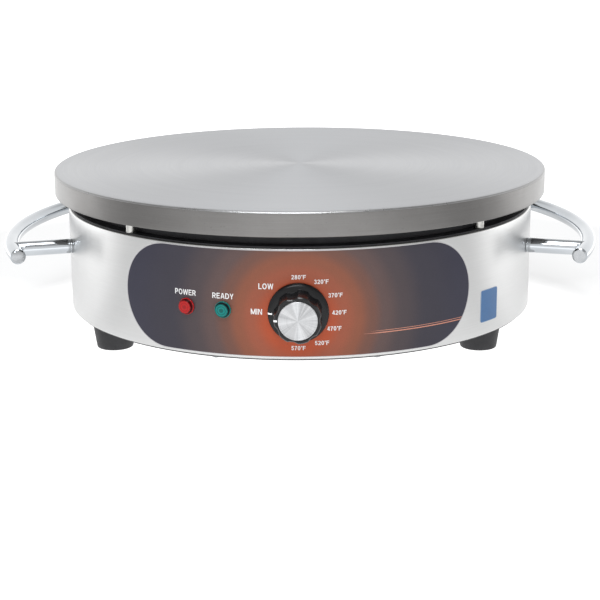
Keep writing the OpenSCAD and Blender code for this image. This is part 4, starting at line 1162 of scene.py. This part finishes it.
def make_pinstripes():
    s = Shell()
    for a0, a1, z, half in ((50.2, 134.6, 39.8, 0.36), (55.6, 135.8, 41.4, 0.18)):
        k = 90
        verts, faces = [], []
        for i in range(k + 1):
            t = i / k
            a = a0 + (a1 - a0) * t
            h = half * min(1.0, 0.25 + t * 5.0)
            for dz, out in ((-h, 0.01), (h, 0.01), (h, 0.035), (-h, 0.035)):
                verts.append(on_skin(a, z + 0.6 * t + dz, out))
        for i in range(k):
            for j in range(4):
                a, b = 4 * i + j, 4 * i + (j + 1) % 4
                faces.append((a, b, b + 4, a + 4))
        faces.append((3, 2, 1, 0))
        faces.append((4 * k, 4 * k + 1, 4 * k + 2, 4 * k + 3))
        s.add(verts, faces)
    return build("panel_pinstripes", s.v, s.f, [PINSTRIPE], angle=40.0)


make_plate()
make_drum()
make_knob()
make_cap()
make_marks()
make_bar(-1, "left_bar_rod", "left_handle_bar")
make_bar(1, "right_bar_rod", "right_handle_bar")
make_posts()
make_feet()
make_lens("power_lens_body", LAMPS[0], "power_lamp_lens", "lens_red")
make_lens("ready_lens_body", LAMPS[1], "ready_lamp_lens", "lens_green")
make_print("panel_words", PRINT[:4], LOOKS["word_ink"])
make_print("panel_numbers", PRINT[4:], ink_material("number_ink", 0.64))
make_pinstripes()

# ---------------------------------------------------------------- stage
painted_light_floor_mat = Mat("studio_floor")
n = painted_light_floor_mat.noise(6.0, 2.0)
# painted light: the floor glows, brightest in front, in darker and lighter bands round the sides and back that show
# in the metal, and evenly white under the drum
fx, fy, fz = painted_light_floor_mat.xyz()
turned = painted_light_floor_mat.math("ABSOLUTE", painted_light_floor_mat.math("ARCTAN2", fx, painted_light_floor_mat.math("MULTIPLY", fy, -1.0)))
turned = painted_light_floor_mat.math("MULTIPLY", turned, 1.0 / math.pi)
near = painted_light_floor_mat.ramp(turned, [(0.0, grey(0.76)), (0.12, grey(0.68)), (0.244, grey(0.46)), (0.34, grey(0.34)),
                               (0.385, grey(0.20)), (0.425, grey(0.22)), (0.46, grey(0.43)), (0.51, grey(0.40)),
                               (0.575, grey(0.32)), (0.66, grey(0.24)), (1.0, grey(0.26))])
far = painted_light_floor_mat.ramp(turned, [(0.0, grey(0.78)), (0.12, grey(0.68)), (0.244, grey(0.46)), (0.33, grey(0.30)),
                              (0.37, grey(0.12)), (0.455, grey(0.32)), (0.51, grey(0.66)),
                              (0.57, grey(1.25)), (0.65, grey(1.00)), (0.75, grey(0.70)), (1.0, grey(0.60))])
rad = painted_light_floor_mat.radius()
glow = painted_light_floor_mat.mix(painted_light_floor_mat.remap(rad, 0.47, 0.60, 0.0, 1.0, True), near, far)
# painted light: a bright patch under the drum fills in the object's shadow there
under = painted_light_floor_mat.mix(painted_light_floor_mat.remap(rad, 0.160, 0.205, 0.0, 1.0, True), grey(0.72), grey(0.44))
glow = painted_light_floor_mat.mix(painted_light_floor_mat.remap(rad, 0.225, 0.275, 0.0, 1.0, True), under, glow)
painted_light_floor_mat.set(color=painted_light_floor_mat.ramp(n, [(0.3, grey(0.495)), (0.7, grey(0.505))]), rough=0.9, spec=0.1,
              emit=glow, emit_k=1.8)
me = bpy.data.meshes.new("studio_floor")
S = 9.0
me.from_pydata([(-S, -S, 0), (S, -S, 0), (S, S, 0), (-S, S, 0)], [], [(0, 1, 2, 3)])
me.materials.append(painted_light_floor_mat.m)
floor = bpy.data.objects.new("studio_floor", me)
bpy.context.scene.collection.objects.link(floor)

# surroundings: a pale studio, bright round the horizon and dimmer above
world = bpy.data.worlds.new("studio")
bpy.context.scene.world = world
world.use_nodes = True
wt = world.node_tree
wt.nodes.clear()


def wnode(kind, ins=None, **attrs):
    q = wt.nodes.new(kind)
    for k, v in attrs.items():
        setattr(q, k, v)
    for k, v in (ins or {}).items():
        if isinstance(v, bpy.types.NodeSocket):
            wt.links.new(v, q.inputs[k])
        else:
            q.inputs[k].default_value = v
    return q


def wramp(fac, stops):
    q = wnode("ShaderNodeValToRGB", {0: fac})
    cr = q.color_ramp
    cr.interpolation = "EASE"
    while len(cr.elements) > 1:
        cr.elements.remove(cr.elements[-1])
    cr.elements[0].position, cr.elements[0].color = stops[0][0], grey(stops[0][1])
    for p, c in stops[1:]:
        cr.elements.new(p).color = grey(c)
    return q.outputs[0]


tc = wnode("ShaderNodeTexCoord")
nrm = wnode("ShaderNodeVectorMath", {0: tc.outputs["Generated"]}, operation="NORMALIZE")
sp = wnode("ShaderNodeSeparateXYZ", {0: nrm.outputs[0]})
el = wnode("ShaderNodeMath", {0: sp.outputs[2]}, operation="ARCSINE")
el01 = wnode("ShaderNodeMapRange", {0: el.outputs[0], 1: -math.pi / 2, 2: math.pi / 2, 3: 0.0, 4: 1.0})
ny = wnode("ShaderNodeMath", {0: sp.outputs[1], 1: -1.0}, operation="MULTIPLY")
az = wnode("ShaderNodeMath", {0: sp.outputs[0], 1: ny.outputs[0]}, operation="ARCTAN2")
aa = wnode("ShaderNodeMath", {0: az.outputs[0]}, operation="ABSOLUTE")
az01 = wnode("ShaderNodeMath", {0: aa.outputs[0], 1: math.pi}, operation="DIVIDE")
# elevation: 0.5 is the horizon
e_fac = wramp(el01.outputs[0], [(0.0, 0.60), (0.48, 0.62), (0.55, 0.62), (0.64, 0.56),
                                (0.72, 0.30), (0.84, 0.26), (1.0, 0.40)])
# azimuth: 0 is the camera's side
a_fac = wramp(az01.outputs[0], [(0.0, 0.87), (0.22, 0.77), (0.42, 0.58), (0.52, 0.62),
                                (0.64, 0.84), (0.80, 0.87), (1.0, 0.87)])
mul = wnode("ShaderNodeMix", {0: 1.0, 6: e_fac, 7: a_fac}, data_type="RGBA", blend_type="MULTIPLY")
bg = wnode("ShaderNodeBackground", {0: mul.outputs[2], 1: 2.35})
wo = wnode("ShaderNodeOutputWorld")
wt.links.new(bg.outputs[0], wo.inputs[0])


def softbox(name, loc, target, size, radiance, color=(1, 1, 1)):
    ld = bpy.data.lights.new(name, "AREA")
    ld.shape = "RECTANGLE"
    ld.size, ld.size_y = size
    ld.energy = radiance * math.pi * size[0] * size[1]
    ld.color = color
    o = bpy.data.objects.new(name, ld)
    bpy.context.scene.collection.objects.link(o)
    o.location = loc
    d = (Vector(target) - Vector(loc)).normalized()
    o.rotation_mode = "QUATERNION"
    o.rotation_quaternion = d.to_track_quat("-Z", "Y")
    o.visible_camera = False
    return o


softbox("overhead_box", (-0.05, -0.30, 1.55), (0, 0, 0.1), (0.75, 0.55), 7.0, (0.97, 0.985, 1.0))

softbox("front_box", (-0.22, -1.15, 1.25), (0, -0.2, 0.06), (0.85, 0.34), 9.0, (0.93, 0.965, 1.0))

# ---------------------------------------------------------------- camera
cd = bpy.data.cameras.new("camera")
cd.sensor_width = 36.0
cd.lens = 93.826
cd.clip_start, cd.clip_end = 0.05, 60.0
cam = bpy.data.objects.new("camera", cd)
bpy.context.scene.collection.objects.link(cam)
h = math.radians(1.05 + 0.016)
p = math.radians(14.837169)
roll = -0.0063474
fwd = Vector((-math.sin(h) * math.cos(p), math.cos(h) * math.cos(p), -math.sin(p)))
rt = Vector((math.cos(h), math.sin(h), 0.0))
up = rt.cross(fwd).normalized()
c, s = math.cos(roll), math.sin(roll)
rt2 = rt * c + up * s
up2 = up * c - rt * s
g = math.radians(1.05)
loc = Vector((1.293741 * math.sin(g), -1.293741 * math.cos(g), 0.359126))
cam.matrix_world = Matrix(((rt2.x, up2.x, -fwd.x, loc.x), (rt2.y, up2.y, -fwd.y, loc.y),
                           (rt2.z, up2.z, -fwd.z, loc.z), (0, 0, 0, 1)))
bpy.context.scene.camera = cam

bpy.context.scene.view_settings.view_transform = "Standard"
bpy.context.scene.view_settings.look = "None"
